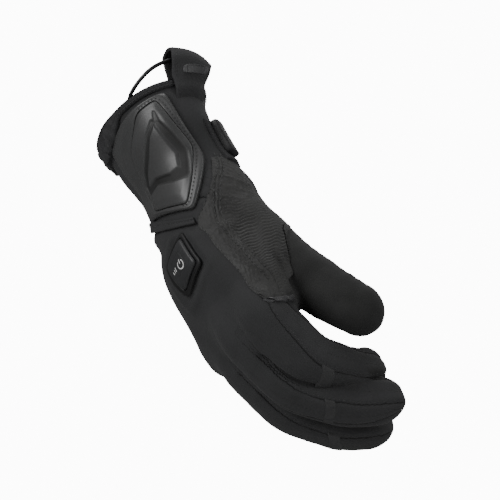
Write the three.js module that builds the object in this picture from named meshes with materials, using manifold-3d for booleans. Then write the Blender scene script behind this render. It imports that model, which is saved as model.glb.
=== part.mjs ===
// Heated winter glove for the right hand, held up by its cuff opening.
//
// Frame: the origin is the middle of the cuff opening, +Z leads out of the cuff towards the elbow,
// +X is the thumb side and -Y the back of the hand. Lengths are millimetres, angles are degrees.
// Every table holds shares of the named sizes above it, one row for each section, fold or corner.

import * as THREE from "three";
import Module from "manifold-3d";

const wasm = await Module();
wasm.setup();

// Hand and cuff
const HAND_LENGTH = 150; // cuff opening to the finger roots
const PALM_WIDTH = 102; // outside, across the knuckles
const PALM_DEPTH = 64; // outside, back to palm at the ball of the thumb
const WALL = 3; // padded cloth wall
const WRIST_SEAM = 0.457; // height of the wrist seam, as a share of HAND_LENGTH
const SIDE_SEAM = 0.08; // where back meets palm, off the origin as a share of PALM_DEPTH
const GAP = 0.35; // clearance between neighbouring pieces
const SEAM_LIFT = 0.25; // extra clearance under a moulded piece, over the facets below it

// Fingers
const INDEX_LENGTH = 105;
const MIDDLE_LENGTH = 117;
const RING_LENGTH = 112;
const LITTLE_LENGTH = 92;
const THUMB_LENGTH = 110;
const FINGER_WIDTH = 27;
const THUMB_WIDTH = 38; // across the ball of the thumb
const TIP_ROUND = 14; // length over which a fingertip closes
const ROOT_ROUND = 22; // length over which a knuckle rises out of the hand
const ROOT_DEPTH = 10; // how far a finger's form starts inside the hand
const ROOT_STUB = 1; // stub of each finger left on the hand below its end

// Edge binding, bands, straps and tabs
const BINDING_WIDTH = 4.2;
const BINDING_THICKNESS = 1.3;
const BAND_WIDTH = 6;
const BAND_THICKNESS = 1.4;
const BAND_TILT = 24; // slope of the wrist seam, lower on the thumb side
const FLEX_BAND_WIDTH = 6;
const FLEX_BAND_THICKNESS = 1.2;
const STRAP_WIDTH = 24;
const STRAP_THICKNESS = 2;
const STRAP_TAB_THICKNESS = 3;
const PULL_TAB_WIDTH = 31;
const PULL_TAB_HEIGHT = 20; // above the cuff opening
const PULL_TAB_THICKNESS = 2;
const BADGE_LENGTH = 20;
const BADGE_WIDTH = 8.5;
const BADGE_THICKNESS = 0.8;
const CORD_DIAMETER = 2.4;

// Moulded cover, button and side panel
const GUARD_THICKNESS = 2.4;
const PAD_THICKNESS = 4.2;
const BEZEL_THICKNESS = 1.2;
const BUTTON_THICKNESS = 2.8;
const PANEL_THICKNESS = 1.1;
const HEM_THICKNESS = 1.9;
const HEM_WIDTH = 3;

// Facets
const HAND_SIDES = 36;
const HAND_RINGS = 17;
const LINING_SIDES = 24;
const LINING_RINGS = 9;
const FINGER_SIDES = 14;
const FINGER_RINGS = 10;
const FINGER_LINING_SIDES = 10;
const FINGER_LINING_RINGS = 6;
const CAP_RINGS = 2;

const rad = THREE.MathUtils.degToRad;
const table = (columns, rows) => {
  const names = columns.split(" ");
  return rows.map((row) => Object.fromEntries(names.map((name, i) => [name, row[i]])));
};

// Sections of the hand from the cuff opening down. down is a share of HAND_LENGTH, width a half width
// as a share of PALM_WIDTH, depth and shift are shares of PALM_DEPTH, corner is the ellipse's power.
const HAND_SECTIONS = table("down width depth shift corner", [
  [0.0, 0.424, 0.46, -0.034, 2.2],
  [0.133, 0.42, 0.388, -0.026, 2.2],
  [0.287, 0.376, 0.374, 0.041, 2.2],
  [0.453, 0.414, 0.45, 0.084, 2.2],
  [0.653, 0.437, 0.5, 0.087, 2.3],
  [0.853, 0.49, 0.33, 0.047, 2.6],
  [0.953, 0.478, 0.31, 0.075, 2.7],
  [1.0, 0.43, 0.25, 0.094, 2.6],
]);

// Folds and gathers of the hand. around is the angle round the section, down a share of HAND_LENGTH,
// spread a half angle, run a share of HAND_LENGTH and rise a share of WALL, negative for a dent.
const HAND_FOLDS = table("around down spread run rise", [
  [-118, 0.13, 7, 0.14, 0.5],
  [-132, 0.15, 6, 0.13, -0.45],
  [-146, 0.13, 7, 0.15, 0.55],
  [-162, 0.16, 7, 0.13, -0.45],
  [-178, 0.14, 8, 0.15, 0.5],
  [-125, 0.48, 26, 0.03, -0.4],
  [95, 0.5, 40, 0.035, -0.6],
  [120, 0.62, 34, 0.05, 0.5],
  [90, 0.8, 45, 0.05, -0.5],
]);

// Fingers. x, y and z place the root as shares of PALM_WIDTH, PALM_DEPTH and HAND_LENGTH; splay, turn
// and pitch aim it; first, second and third bend its three joints.
const FINGERS = table("name length x y z splay turn pitch first second third", [
  ["index", INDEX_LENGTH, 0.372, -0.039, -0.883, 4.6, 29, 0.3, 34.5, 44, 16.8],
  ["middle", MIDDLE_LENGTH, 0.122, -0.102, -0.871, 5.9, 4.7, -2.6, 26.8, 35.3, 19.6],
  ["ring", RING_LENGTH, -0.137, -0.016, -0.893, -5.1, -7.7, -2.2, 28.4, 26.8, 21.9],
  ["little", LITTLE_LENGTH, -0.375, 0.189, -0.843, -6.7, -20.9, -1.4, 25.2, 26.3, 12],
]);
const THUMB = table("name length x y z splay turn pitch first second third", [
  ["thumb", THUMB_LENGTH, 0.214, 0.108, -0.507, -6.2, -30.3, 21, 9.4, 5.9, 3],
])[0];

// Where a finger bends: at and run are shares of its length.
const FINGER_BENDS = table("joint at run", [
  ["first", 0.13, 0.27],
  ["second", 0.48, 0.235],
  ["third", 0.75, 0.18],
]);

// Half sections of a finger along its length, as shares of FINGER_WIDTH or THUMB_WIDTH.
const FINGER_SECTIONS = table("along width depth", [
  [0, 0.5, 0.53],
  [0.3, 0.495, 0.515],
  [0.6, 0.478, 0.488],
  [0.85, 0.45, 0.45],
  [1, 0.44, 0.425],
]);
const LITTLE_SECTIONS = table("along width depth", [
  [0, 0.445, 0.48],
  [0.3, 0.44, 0.46],
  [0.6, 0.42, 0.44],
  [1, 0.39, 0.39],
]);
const THUMB_SECTIONS = table("along width depth", [
  [0, 0.58, 0.526],
  [0.3, 0.5, 0.474],
  [0.6, 0.434, 0.408],
  [0.85, 0.408, 0.368],
  [1, 0.382, 0.342],
]);

// Corners of the moulded cover and its raised pad, and of the button: around is the angle round the
// hand, down a share of HAND_LENGTH.
const GUARD_CORNERS = table("around down", [
  [-9, 0.042],
  [-58, 0.04],
  [-102, 0.075],
  [-102, 0.382],
  [-38, 0.507],
  [-2, 0.32],
]);
const PAD_CORNERS = table("around down", [
  [-22, 0.062],
  [-46, 0.07],
  [-76, 0.165],
  [-88, 0.29],
  [-83, 0.395],
  [-42, 0.475],
  [-9, 0.27],
]);
const BUTTON_CORNERS = table("around down", [
  [-58, 0.545],
  [-51, 0.702],
  [-89, 0.752],
  [-94, 0.597],
]);
const BUTTON_SHARE = 0.8; // the moving cap's share of the bezel's outline
const GUARD_ROUND = 22; // higher is squarer
const BUTTON_ROUND = 9;

// Edges of the textured panel between thumb and index finger: left and right are angles.
const PANEL_EDGES = table("down left right", [
  [0.31, 4, 16],
  [0.37, -4, 30],
  [0.45, -17, 35],
  [0.51, -31, 44],
  [0.555, -42, 50],
  [0.62, -36.5, 52],
  [0.71, -32, 46],
  [0.82, -29, 42],
  [0.9, -23.5, 36],
  [0.95, -18, 26],
]);
const HEM_DOWN = 0.957;

// Ribbed band over the back of each finger: at is the share of the finger's length at the middle of its
// back, slant how much further along it lies at each 100 degrees round towards the little finger.
// middle, from and to are angles round the finger.
const FLEX_BANDS = table("name at slant middle from to", [
  ["index", 0.525, 0.08, -75, -148, -28],
  ["middle", 0.63, 0.06, -75, -148, -28],
  ["ring", 0.715, 0.05, -75, -148, -28],
  ["little", 0.71, 0.04, -75, -148, -28],
]);

// Path of the pull tab's loop: out is measured from the cuff's outer face, up from the opening, both
// as shares of its leaf spacing and height; width is a share of PULL_TAB_WIDTH.
const PULL_TAB_PATH = table("out up width", [
  [1, -0.55, 0.95],
  [1, -0.1, 0.9],
  [1.1, 0.25, 0.9],
  [1.3, 0.6, 0.98],
  [1.1, 0.88, 1],
  [0.5, 1.0, 1],
  [-0.1, 0.9, 1],
  [-0.2, 0.6, 0.97],
  [-0.05, 0.2, 0.92],
  [0, -0.4, 0.9],
]);
const TAB_AROUND = 24; // angle of the tab's middle
const BADGE_ALONG = 0.345; // middle of the badge, as a share of the loop's path
const LOOP_LENGTH = 4.6; // length of the path, as a share of PULL_TAB_HEIGHT

// Wrist strap over the palm side, and its doubled end by the thumb: down is a share of HAND_LENGTH,
// from and to are angles, width is a share of STRAP_WIDTH.
const STRAPS = table("name down from to width", [
  ["strap", 0.255, 26, 165, 1],
  ["doubled_end", 0.255, 29, 52, 0.92],
]);

// Elastic cord: chosen points, as angle round the opening, distance out from the cuff's outer face
// and height above the opening.
const CORD_POINTS = table("around out up", [
  [-44, -8, -16],
  [-44, -8, -8],
  [-44, -7.6, 0],
  [-42, -4, 7],
  [-34, -1, 13],
  [-22, 0.8, 16],
  [-8, 0.8, 16.6],
  [10, 0.4, 16.4],
  [28, 0, 16.2],
  [44, -0.4, 15.6],
  [58, -2.4, 12.4],
  [68, -5.4, 6],
  [72, -7, -2],
  [73, -7, -14],
]);

// A smooth curve through table rows that never overshoots them.
function curve(keys, values) {
  const last = keys.length - 1;
  const slopes = values.slice(1).map((v, i) => (v - values[i]) / (keys[i + 1] - keys[i]));
  const tangents = values.map((_, i) => {
    if (i === 0) return slopes[0];
    if (i === last) return slopes[last - 1];
    const [before, after] = [slopes[i - 1], slopes[i]];
    return before * after <= 0 ? 0 : (2 * before * after) / (before + after);
  });
  return (at) => {
    const x = THREE.MathUtils.clamp(at, keys[0], keys[last]);
    let i = 0;
    while (i < last - 1 && x > keys[i + 1]) i += 1;
    const step = keys[i + 1] - keys[i];
    const t = (x - keys[i]) / step;
    const s = 1 - t;
    return (
      values[i] * (1 + 2 * t) * s * s + tangents[i] * step * t * s * s +
      values[i + 1] * (3 - 2 * t) * t * t - tangents[i + 1] * step * t * t * s
    );
  };
}
const columns = (rows, key, names) => {
  const keys = rows.map((row) => row[key]);
  return Object.fromEntries(names.map((name) => [name, curve(keys, rows.map((row) => row[name]))]));
};

const hand = columns(HAND_SECTIONS, "down", ["width", "depth", "shift", "corner"]);
const signedPower = (value, power) => Math.sign(value) * Math.abs(value) ** power;
const ease = (t) => {
  const x = THREE.MathUtils.clamp(t, 0, 1);
  return x * x * (3 - 2 * x);
};

// Rise of the folds at an angle and a share of the hand's length: a sum of round humps and dents.
function folds(around, down) {
  return HAND_FOLDS.reduce((sum, fold) => {
    const turn = (((around - fold.around + 180) % 360) + 360) % 360 - 180;
    const across = (turn / fold.spread) ** 2;
    const along = ((down - fold.down) / fold.run) ** 2;
    return sum + fold.rise * WALL * Math.exp(-across - along) * ease(down / fold.down);
  }, 0);
}

// A point of the hand's surface, lifted out by a distance: a rounded ellipse at each height.
function handPoint(around, down, lift = 0) {
  const share = THREE.MathUtils.clamp(down, 0, 1);
  const power = 2 / hand.corner(share);
  const grow = lift + folds(around, share);
  const width = hand.width(share) * PALM_WIDTH + grow;
  const depth = hand.depth(share) * PALM_DEPTH + grow;
  return new THREE.Vector3(
    width * signedPower(Math.cos(rad(around)), power),
    hand.shift(share) * PALM_DEPTH + depth * signedPower(Math.sin(rad(around)), power),
    -down * HAND_LENGTH,
  );
}

// A solid from points and triangles: meeting points are merged and the faces are turned outwards.
function solid(points, triangles) {
  const seen = new Map();
  const kept = [];
  const index = points.map((p) => {
    const key = p.toArray().map((v) => Math.round(v * 2000)).join();
    if (!seen.has(key)) seen.set(key, kept.push(p) - 1);
    return seen.get(key);
  });
  const faces = triangles
    .map((t) => t.map((i) => index[i]))
    .filter(([a, b, c]) => a !== b && b !== c && c !== a);
  const cross = new THREE.Vector3();
  const volume = faces.reduce(
    (sum, [a, b, c]) => sum + cross.crossVectors(kept[a], kept[b]).dot(kept[c]), 0);
  const turned = volume < 0 ? faces.map(([a, b, c]) => [a, c, b]) : faces;
  return new wasm.Manifold(new wasm.Mesh({
    numProp: 3,
    vertProperties: Float32Array.from(kept.flatMap((p) => p.toArray())),
    triVerts: Uint32Array.from(turned.flat()),
  }));
}

const quad = (a, b, c, d) => [[a, b, c], [a, c, d]];

// A closed tube of rings, each end closed by a fan.
function loft(rings) {
  const sides = rings[0].length;
  const points = rings.flat();
  const faces = [];
  for (let ring = 0; ring < rings.length - 1; ring += 1) {
    for (let side = 0; side < sides; side += 1) {
      const next = (side + 1) % sides;
      const [low, high] = [ring * sides, (ring + 1) * sides];
      faces.push(...quad(low + side, low + next, high + next, high + side));
    }
  }
  for (const [ring, flip] of [[0, true], [rings.length - 1, false]]) {
    const middle = rings[ring].reduce((sum, p) => sum.add(p), new THREE.Vector3()).divideScalar(sides);
    const centre = points.push(middle) - 1;
    for (let side = 0; side < sides; side += 1) {
      const [a, b] = [ring * sides + side, ring * sides + ((side + 1) % sides)];
      faces.push(flip ? [centre, b, a] : [centre, a, b]);
    }
  }
  return solid(points, faces);
}

// A closed sheet: place(u, v, top) gives the upper and lower faces, joined along their edges. With
// wrap the sheet closes on itself round u, as a ring or, where v = 0 meets in a point, a disc.
function sheet(place, across, along, wrap = false) {
  const count = wrap ? across : across + 1;
  const points = [];
  for (const top of [0, 1]) {
    for (let row = 0; row <= along; row += 1) {
      for (let column = 0; column < count; column += 1) {
        points.push(place(column / across, row / along, top));
      }
    }
  }
  const at = (top, row, column) => (top * (along + 1) + row) * count + (column % count);
  const faces = [];
  for (let column = 0; column < across; column += 1) {
    for (let row = 0; row < along; row += 1) {
      const [a, b, c, d] = [[row, column], [row, column + 1], [row + 1, column + 1], [row + 1, column]];
      faces.push(...quad(at(1, ...a), at(1, ...b), at(1, ...c), at(1, ...d)));
      faces.push(...quad(at(0, ...a), at(0, ...d), at(0, ...c), at(0, ...b)));
    }
    const next = column + 1;
    faces.push(...quad(at(0, 0, column), at(0, 0, next), at(1, 0, next), at(1, 0, column)));
    faces.push(...quad(at(1, along, column), at(1, along, next), at(0, along, next), at(0, along, column)));
  }
  if (!wrap) {
    for (let row = 0; row < along; row += 1) {
      const next = row + 1;
      faces.push(...quad(at(1, row, 0), at(1, next, 0), at(0, next, 0), at(0, row, 0)));
      faces.push(...quad(at(0, row, across), at(0, next, across), at(1, next, across), at(1, row, across)));
    }
  }
  return solid(points, faces);
}

const RIM_DROP = BINDING_THICKNESS + GAP + SEAM_LIFT; // the wall's edge lies this far inside the binding

// The hand and cuff as one closed form, grown or shrunk by a distance and started above the opening.
function handForm(grow, sides, rings, above = 0) {
  const end = 1 + grow / HAND_LENGTH;
  const edge = RIM_DROP / HAND_LENGTH;
  const first = BINDING_WIDTH / HAND_LENGTH;
  const downs = above > 0 ? [-above / HAND_LENGTH, edge] : [edge];
  for (let ring = 0; ring <= rings; ring += 1) downs.push(first + ((end - first) * ring) / rings);
  return loft(downs.map((down) =>
    Array.from({ length: sides }, (_, side) => handPoint((side / sides) * 360, down, grow))));
}

const isThumb = (finger) => finger === THUMB;
const sectionsOf = (finger) => {
  if (isThumb(finger)) return columns(THUMB_SECTIONS, "along", ["width", "depth"]);
  const rows = finger.name === "little" ? LITTLE_SECTIONS : FINGER_SECTIONS;
  return columns(rows, "along", ["width", "depth"]);
};
const fingerSize = (finger) => (isThumb(finger) ? THUMB_WIDTH : FINGER_WIDTH);
const fingerCorner = (finger) => (isThumb(finger) ? 2.4 : 2.9);

// Frames along a finger: a straight start, then the direction turns through the three bends.
function fingerFrames(finger, stations) {
  const splay = rad(finger.splay);
  const turn = rad(finger.turn);
  const down = new THREE.Vector3(Math.sin(splay), 0, -Math.cos(splay));
  const outward = new THREE.Vector3(-Math.cos(splay), 0, -Math.sin(splay));
  const palmward = new THREE.Vector3(0, 1, 0);
  const bendSide = palmward.clone().multiplyScalar(Math.cos(turn)).addScaledVector(outward, Math.sin(turn));
  const side = outward.clone().multiplyScalar(Math.cos(turn)).addScaledVector(palmward, -Math.sin(turn));
  const angleAt = (s) => FINGER_BENDS.reduce(
    (sum, bend) => sum + finger[bend.joint] * ease((s / finger.length - bend.at) / bend.run + 0.5),
    finger.pitch,
  );
  const along = (s) => {
    const angle = rad(angleAt(s));
    return down.clone().multiplyScalar(Math.cos(angle)).addScaledVector(bendSide, Math.sin(angle));
  };
  const point = new THREE.Vector3(finger.x * PALM_WIDTH, finger.y * PALM_DEPTH, finger.z * HAND_LENGTH);
  let reached = stations[0];
  point.addScaledVector(along(0), reached);
  return stations.map((s) => {
    const steps = Math.max(1, Math.ceil((s - reached) / 2));
    const step = (s - reached) / steps;
    for (let i = 0; i < steps; i += 1) point.addScaledVector(along(reached + (i + 0.5) * step), step);
    reached = s;
    const angle = rad(angleAt(s));
    const palm = down.clone().multiplyScalar(-Math.sin(angle)).addScaledVector(bendSide, Math.cos(angle));
    return { s, point: point.clone(), side, palm };
  });
}

// A point round a finger at one of its frames. around is 0 on the thumb side and -90 on the back.
function fingerPoint(finger, frame, around, lift) {
  const sections = sectionsOf(finger);
  const share = THREE.MathUtils.clamp(frame.s / finger.length, 0, 1);
  const fromTip = THREE.MathUtils.clamp((finger.length + lift - frame.s) / TIP_ROUND, 0, 1);
  const fromRoot = THREE.MathUtils.clamp((frame.s + ROOT_DEPTH + lift) / ROOT_ROUND, 0, 1);
  const quarter = (share) => Math.sqrt(Math.max(0, 1 - (1 - share) ** 2));
  const round = quarter(fromTip) * quarter(fromRoot);
  const power = 2 / fingerCorner(finger);
  const width = (sections.width(share) * fingerSize(finger) + lift) * round;
  const depth = (sections.depth(share) * fingerSize(finger) + lift) * round;
  return frame.point.clone()
    .addScaledVector(frame.side, -width * signedPower(Math.cos(rad(around)), power))
    .addScaledVector(frame.palm, depth * signedPower(Math.sin(rad(around)), power));
}

// A whole finger as a closed form: rings are closer over the knuckle and the tip.
function fingerForm(finger, grow, sides, rings) {
  const start = -ROOT_DEPTH - grow;
  const end = finger.length + grow;
  const stations = [];
  for (let i = 0; i < CAP_RINGS; i += 1) {
    stations.push(start + ROOT_ROUND * (1 - Math.cos(((i / CAP_RINGS) * Math.PI) / 2)));
  }
  for (let i = 0; i <= rings; i += 1) {
    stations.push(start + ROOT_ROUND + ((end - TIP_ROUND - start - ROOT_ROUND) * i) / rings);
  }
  for (let i = 1; i <= CAP_RINGS + 1; i += 1) {
    stations.push(end - TIP_ROUND * (1 - Math.sin(((i / (CAP_RINGS + 1)) * Math.PI) / 2)));
  }
  const loops = fingerFrames(finger, stations).map((frame) =>
    Array.from({ length: sides }, (_, side) => fingerPoint(finger, frame, (side / sides) * 360, grow)));
  return loft(loops);
}

// A block on one side of a plane, used to part the shell: above or below a height, tilted about Y, or
// with upright on the palm or back side of a distance along Y.
function halfSpace(distance, tilt, above, upright = false) {
  const size = 4 * (HAND_LENGTH + MIDDLE_LENGTH);
  const box = new THREE.BoxGeometry(size, size, size);
  box.translate(0, 0, above ? size / 2 : -size / 2);
  box.rotateY(rad(tilt));
  if (upright) box.rotateX(-Math.PI / 2);
  box.translate(0, upright ? distance : 0, upright ? 0 : distance);
  const positions = box.getAttribute("position");
  const corner = (i) => new THREE.Vector3().fromBufferAttribute(positions, i);
  const points = Array.from({ length: positions.count }, (_, i) => corner(i));
  const order = Array.from(box.getIndex().array);
  const triangles = Array.from({ length: order.length / 3 }, (_, i) => order.slice(3 * i, 3 * i + 3));
  return solid(points, triangles);
}

// Shell of the glove: outer forms less their linings, parted at the wrist seam and the finger roots.
const allFingers = [...FINGERS, THUMB];
const outer = (finger, grow = 0) => fingerForm(finger, grow, FINGER_SIDES, FINGER_RINGS);
const lining = (finger) => fingerForm(finger, -WALL, FINGER_LINING_SIDES, FINGER_LINING_RINGS);
const handOuter = (grow = 0) => handForm(grow, HAND_SIDES, HAND_RINGS);
const linings = allFingers
  .map(lining)
  .reduce((sum, part) => sum.add(part), handForm(-WALL, LINING_SIDES, LINING_RINGS, WALL));
const WRIST_HEIGHT = -WRIST_SEAM * HAND_LENGTH;
const ROOT_HEIGHT = -HAND_LENGTH - ROOT_STUB;
const thumbCleared = outer(THUMB, GAP);
const handWithRoots = FINGERS.reduce((sum, finger) => sum.add(outer(finger)), handOuter());
const handCleared = FINGERS.reduce((sum, finger) => sum.add(outer(finger, GAP)), handOuter(GAP));

function cuffShell() {
  const above = halfSpace(WRIST_HEIGHT + GAP / 2, BAND_TILT, true);
  return handOuter().subtract(linings).intersect(above).subtract(thumbCleared);
}

// The back of the hand, or its palm, parted along the side seams.
function handPanel(isPalm) {
  const below = halfSpace(WRIST_HEIGHT - GAP / 2, BAND_TILT, false);
  const aboveRoots = halfSpace(ROOT_HEIGHT, 0, true);
  const seam = SIDE_SEAM * PALM_DEPTH + (isPalm ? GAP / 2 : -GAP / 2);
  const side = halfSpace(seam, 0, isPalm, true);
  const shell = handWithRoots.subtract(linings).intersect(below).intersect(aboveRoots);
  return shell.intersect(side).subtract(thumbCleared);
}

function fingerStall(finger, place) {
  const belowRoots = halfSpace(ROOT_HEIGHT - GAP, 0, false);
  const clearOf = place === 0 ? FINGERS[1] : FINGERS[place - 1];
  const stall = outer(finger).subtract(lining(finger)).intersect(belowRoots);
  return place === 1 ? stall : stall.subtract(outer(clearOf, GAP));
}

const thumbStall = () => outer(THUMB).subtract(lining(THUMB)).subtract(handCleared);

// Folded tape over the cuff's edge: a channel section carried round the opening.
function rimBinding() {
  const outside = GAP + SEAM_LIFT;
  const inside = -WALL - outside;
  const soft = BINDING_THICKNESS / 3;
  const section = [
    [outside, -BINDING_WIDTH], [outside + BINDING_THICKNESS, -BINDING_WIDTH + soft],
    [outside + BINDING_THICKNESS, -soft], [outside + BINDING_THICKNESS - soft, 0],
    [inside - BINDING_THICKNESS + soft, 0], [inside - BINDING_THICKNESS, -soft],
    [inside - BINDING_THICKNESS, -BINDING_WIDTH], [inside, -BINDING_WIDTH],
    [inside, -BINDING_THICKNESS], [outside, -BINDING_THICKNESS],
  ];
  const faces = [];
  const points = [];
  for (let side = 0; side < HAND_SIDES; side += 1) {
    for (const [out, up] of section) {
      const p = handPoint((side / HAND_SIDES) * 360, Math.max(0, -up / HAND_LENGTH), out);
      points.push(p.setZ(up));
    }
  }
  const count = section.length;
  for (let side = 0; side < HAND_SIDES; side += 1) {
    const [here, next] = [side * count, ((side + 1) % HAND_SIDES) * count];
    for (let i = 0; i < count; i += 1) {
      const j = (i + 1) % count;
      faces.push(...quad(here + i, here + j, next + j, next + i));
    }
  }
  return solid(points, faces);
}

// Height of a line that follows the wrist seam's slope, at an angle round the hand.
function seamDown(around, offset) {
  let down = -WRIST_HEIGHT / HAND_LENGTH;
  for (let i = 0; i < 4; i += 1) {
    const x = handPoint(around, down).x;
    down = (-WRIST_HEIGHT + x * Math.tan(rad(BAND_TILT)) - offset) / HAND_LENGTH;
  }
  return down;
}

function wristBand() {
  const [from, to] = [-178, -46];
  return sheet((u, v, top) => {
    const around = from + (to - from) * u;
    const bulge = BAND_THICKNESS * (0.75 + 0.25 * Math.sin(Math.PI * v));
    const lift = GAP + SEAM_LIFT + (top ? bulge : 0);
    return handPoint(around, seamDown(around, GAP + BAND_WIDTH * v), lift);
  }, 18, 3);
}

// Distance from a middle to a convex outline in a direction, its corners rounded: the power sum of
// the distances to its edges.
function outlineReach(corners, middle, sharpness) {
  const flat = corners.map((c) => new THREE.Vector2(c.around, c.down * 100).sub(middle));
  const edges = flat.map((a, i) => {
    const b = flat[(i + 1) % flat.length];
    const normal = new THREE.Vector2(b.y - a.y, a.x - b.x).normalize();
    const distance = normal.dot(a);
    return { normal: normal.multiplyScalar(Math.sign(distance)), distance: Math.abs(distance) };
  });
  return (angle) => {
    const direction = new THREE.Vector2(Math.cos(angle), Math.sin(angle));
    const sum = edges.reduce(
      (total, edge) => total + Math.max(0, direction.dot(edge.normal) / edge.distance) ** sharpness, 0);
    return sum ** (-1 / sharpness);
  };
}
const middleOf = (corners) => corners
  .reduce((sum, c) => sum.add(new THREE.Vector2(c.around, c.down * 100)), new THREE.Vector2())
  .divideScalar(corners.length);

// A moulded piece on the hand, between an inner and an outer outline about one middle. height(v) is
// its thickness from the inner edge, v = 0, to the outer, v = 1.
function moulded(middle, inner, outerReach, height, sides, rings) {
  return sheet((u, v, top) => {
    const angle = u * 2 * Math.PI;
    const reach = inner(angle) + (outerReach(angle) - inner(angle)) * v;
    const around = middle.x + reach * Math.cos(angle);
    const down = (middle.y + reach * Math.sin(angle)) / 100;
    return handPoint(around, down, GAP + SEAM_LIFT + (top ? height(v) : 0));
  }, sides, rings, true);
}

const guardMiddle = middleOf(GUARD_CORNERS);
const padReach = outlineReach(PAD_CORNERS, guardMiddle, GUARD_ROUND);
const GUARD_GAP = GAP + SEAM_LIFT; // in degrees and hundredths of the length, each about 0.8 to 1.5 mm

function guardFrame() {
  const reach = outlineReach(GUARD_CORNERS, guardMiddle, GUARD_ROUND);
  const height = (v) => GUARD_THICKNESS * (1 - 0.55 * v ** 3 - 0.25 * (1 - v) ** 2);
  return moulded(guardMiddle, (angle) => padReach(angle) + GUARD_GAP, reach, height, 28, 2);
}

function guardPad() {
  const height = (v) => PAD_THICKNESS * (1 - 0.5 * v ** 4);
  return moulded(guardMiddle, () => 0, padReach, height, 28, 3);
}

const buttonMiddle = middleOf(BUTTON_CORNERS);
const bezelReach = outlineReach(BUTTON_CORNERS, buttonMiddle, BUTTON_ROUND);

function buttonBezel() {
  const inner = (angle) => bezelReach(angle) * BUTTON_SHARE + GUARD_GAP;
  const height = (v) => BEZEL_THICKNESS * (1 - 0.5 * v * v);
  return moulded(buttonMiddle, inner, bezelReach, height, 24, 2);
}

function powerButton() {
  const height = (v) => BUTTON_THICKNESS * (1 - 0.35 * v ** 4);
  return moulded(buttonMiddle, () => 0, (angle) => bezelReach(angle) * BUTTON_SHARE, height, 24, 2);
}

// Textured panel between thumb and index finger, a sheet between two edge tables, cleared of the thumb
// and the index finger's knuckle.
const panelEdges = columns(PANEL_EDGES, "down", ["left", "right"]);
const panelFrom = PANEL_EDGES[0].down;
const panelTo = PANEL_EDGES[PANEL_EDGES.length - 1].down;
const panelClear = thumbCleared.add(outer(FINGERS[0], GAP));

function sidePanel() {
  return sheet((u, v, top) => {
    const down = panelFrom + (panelTo - panelFrom) * v;
    const around = panelEdges.left(down) + (panelEdges.right(down) - panelEdges.left(down)) * u;
    return handPoint(around, down, GAP + SEAM_LIFT + (top ? PANEL_THICKNESS : 0));
  }, 10, 12).subtract(panelClear);
}

function sideHem() {
  return sheet((u, v, top) => {
    const around = panelEdges.left(1) + (panelEdges.right(1) - panelEdges.left(1)) * u;
    const down = HEM_DOWN + (HEM_WIDTH / HAND_LENGTH) * v;
    return handPoint(around, down, GAP + SEAM_LIFT + (top ? HEM_THICKNESS : 0));
  }, 10, 2).subtract(panelClear);
}

// A band's form over a finger's back, with clearance all round when it is grown.
function bandForm(finger, grow = 0) {
  const row = FLEX_BANDS.find((band) => band.name === finger.name);
  const lift = GAP + SEAM_LIFT;
  return sheet((u, v, top) => {
    const around = row.from + (row.to - row.from) * u;
    const middle = (row.at - (row.slant * (around - row.middle)) / 100) * finger.length;
    const station = middle + (FLEX_BAND_WIDTH + 2 * grow) * (v - 0.5);
    const frame = fingerFrames(finger, [0, station])[1];
    return fingerPoint(finger, frame, around, top ? lift + FLEX_BAND_THICKNESS + grow : lift - grow);
  }, 8, 2);
}

// The band itself, cleared of the other fingers and of the band that its own finger gives way to.
function flexBand(finger, place) {
  const others = FINGERS.filter((other) => other !== finger);
  const band = others.reduce((left, other) => left.subtract(outer(other, GAP)), bandForm(finger));
  const clearOf = place === 0 ? FINGERS[1] : FINGERS[place - 1];
  return place === 1 ? band : band.subtract(bandForm(clearOf, GAP));
}

const strapLift = GAP + SEAM_LIFT;
function strapPiece(name, lift, thickness, columnsAcross) {
  const row = STRAPS.find((strap) => strap.name === name);
  return sheet((u, v, top) => {
    const down = row.down + ((v - 0.5) * row.width * STRAP_WIDTH) / HAND_LENGTH;
    return handPoint(row.from + (row.to - row.from) * u, down, lift + (top ? thickness : 0));
  }, columnsAcross, 3);
}
const wristStrap = () => strapPiece("strap", strapLift, STRAP_THICKNESS, 12);
const strapTab = () =>
  strapPiece("doubled_end", strapLift + STRAP_THICKNESS + GAP, STRAP_TAB_THICKNESS, 4);

// Loop of webbing at the thumb side of the opening: up outside the binding, over, and down inside.
const leafOut = GAP + SEAM_LIFT + BINDING_THICKNESS + GAP + PULL_TAB_THICKNESS / 2;
const leafIn = -WALL - leafOut;
const tabRows = PULL_TAB_PATH.map((row, i) => ({ ...row, along: i / (PULL_TAB_PATH.length - 1) }));
const tabCurve = columns(tabRows, "along", ["out", "up", "width"]);
const openingArc = (PALM_WIDTH * hand.width(0) + PALM_DEPTH * hand.depth(0)) / 2;

// A point of the loop: along its path, across its width, and off its middle face.
function tabPoint(along, across, off) {
  const flat = (t) => new THREE.Vector2(
    leafIn + (leafOut - leafIn) * tabCurve.out(t), tabCurve.up(t) * PULL_TAB_HEIGHT);
  const here = flat(along);
  const ahead = flat(Math.min(1, along + 0.01)).sub(flat(Math.max(0, along - 0.01))).normalize();
  const out = here.x + ahead.y * off;
  const up = here.y - ahead.x * off;
  const halfAngle = THREE.MathUtils.radToDeg((tabCurve.width(along) * PULL_TAB_WIDTH) / 2 / openingArc);
  return handPoint(TAB_AROUND + halfAngle * across, Math.max(0, -up / HAND_LENGTH), out).setZ(up);
}

const pullTab = () => sheet(
  (u, v, top) => tabPoint(v, u * 2 - 1, (top ? 0.5 : -0.5) * PULL_TAB_THICKNESS), 4, 18);

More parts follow.
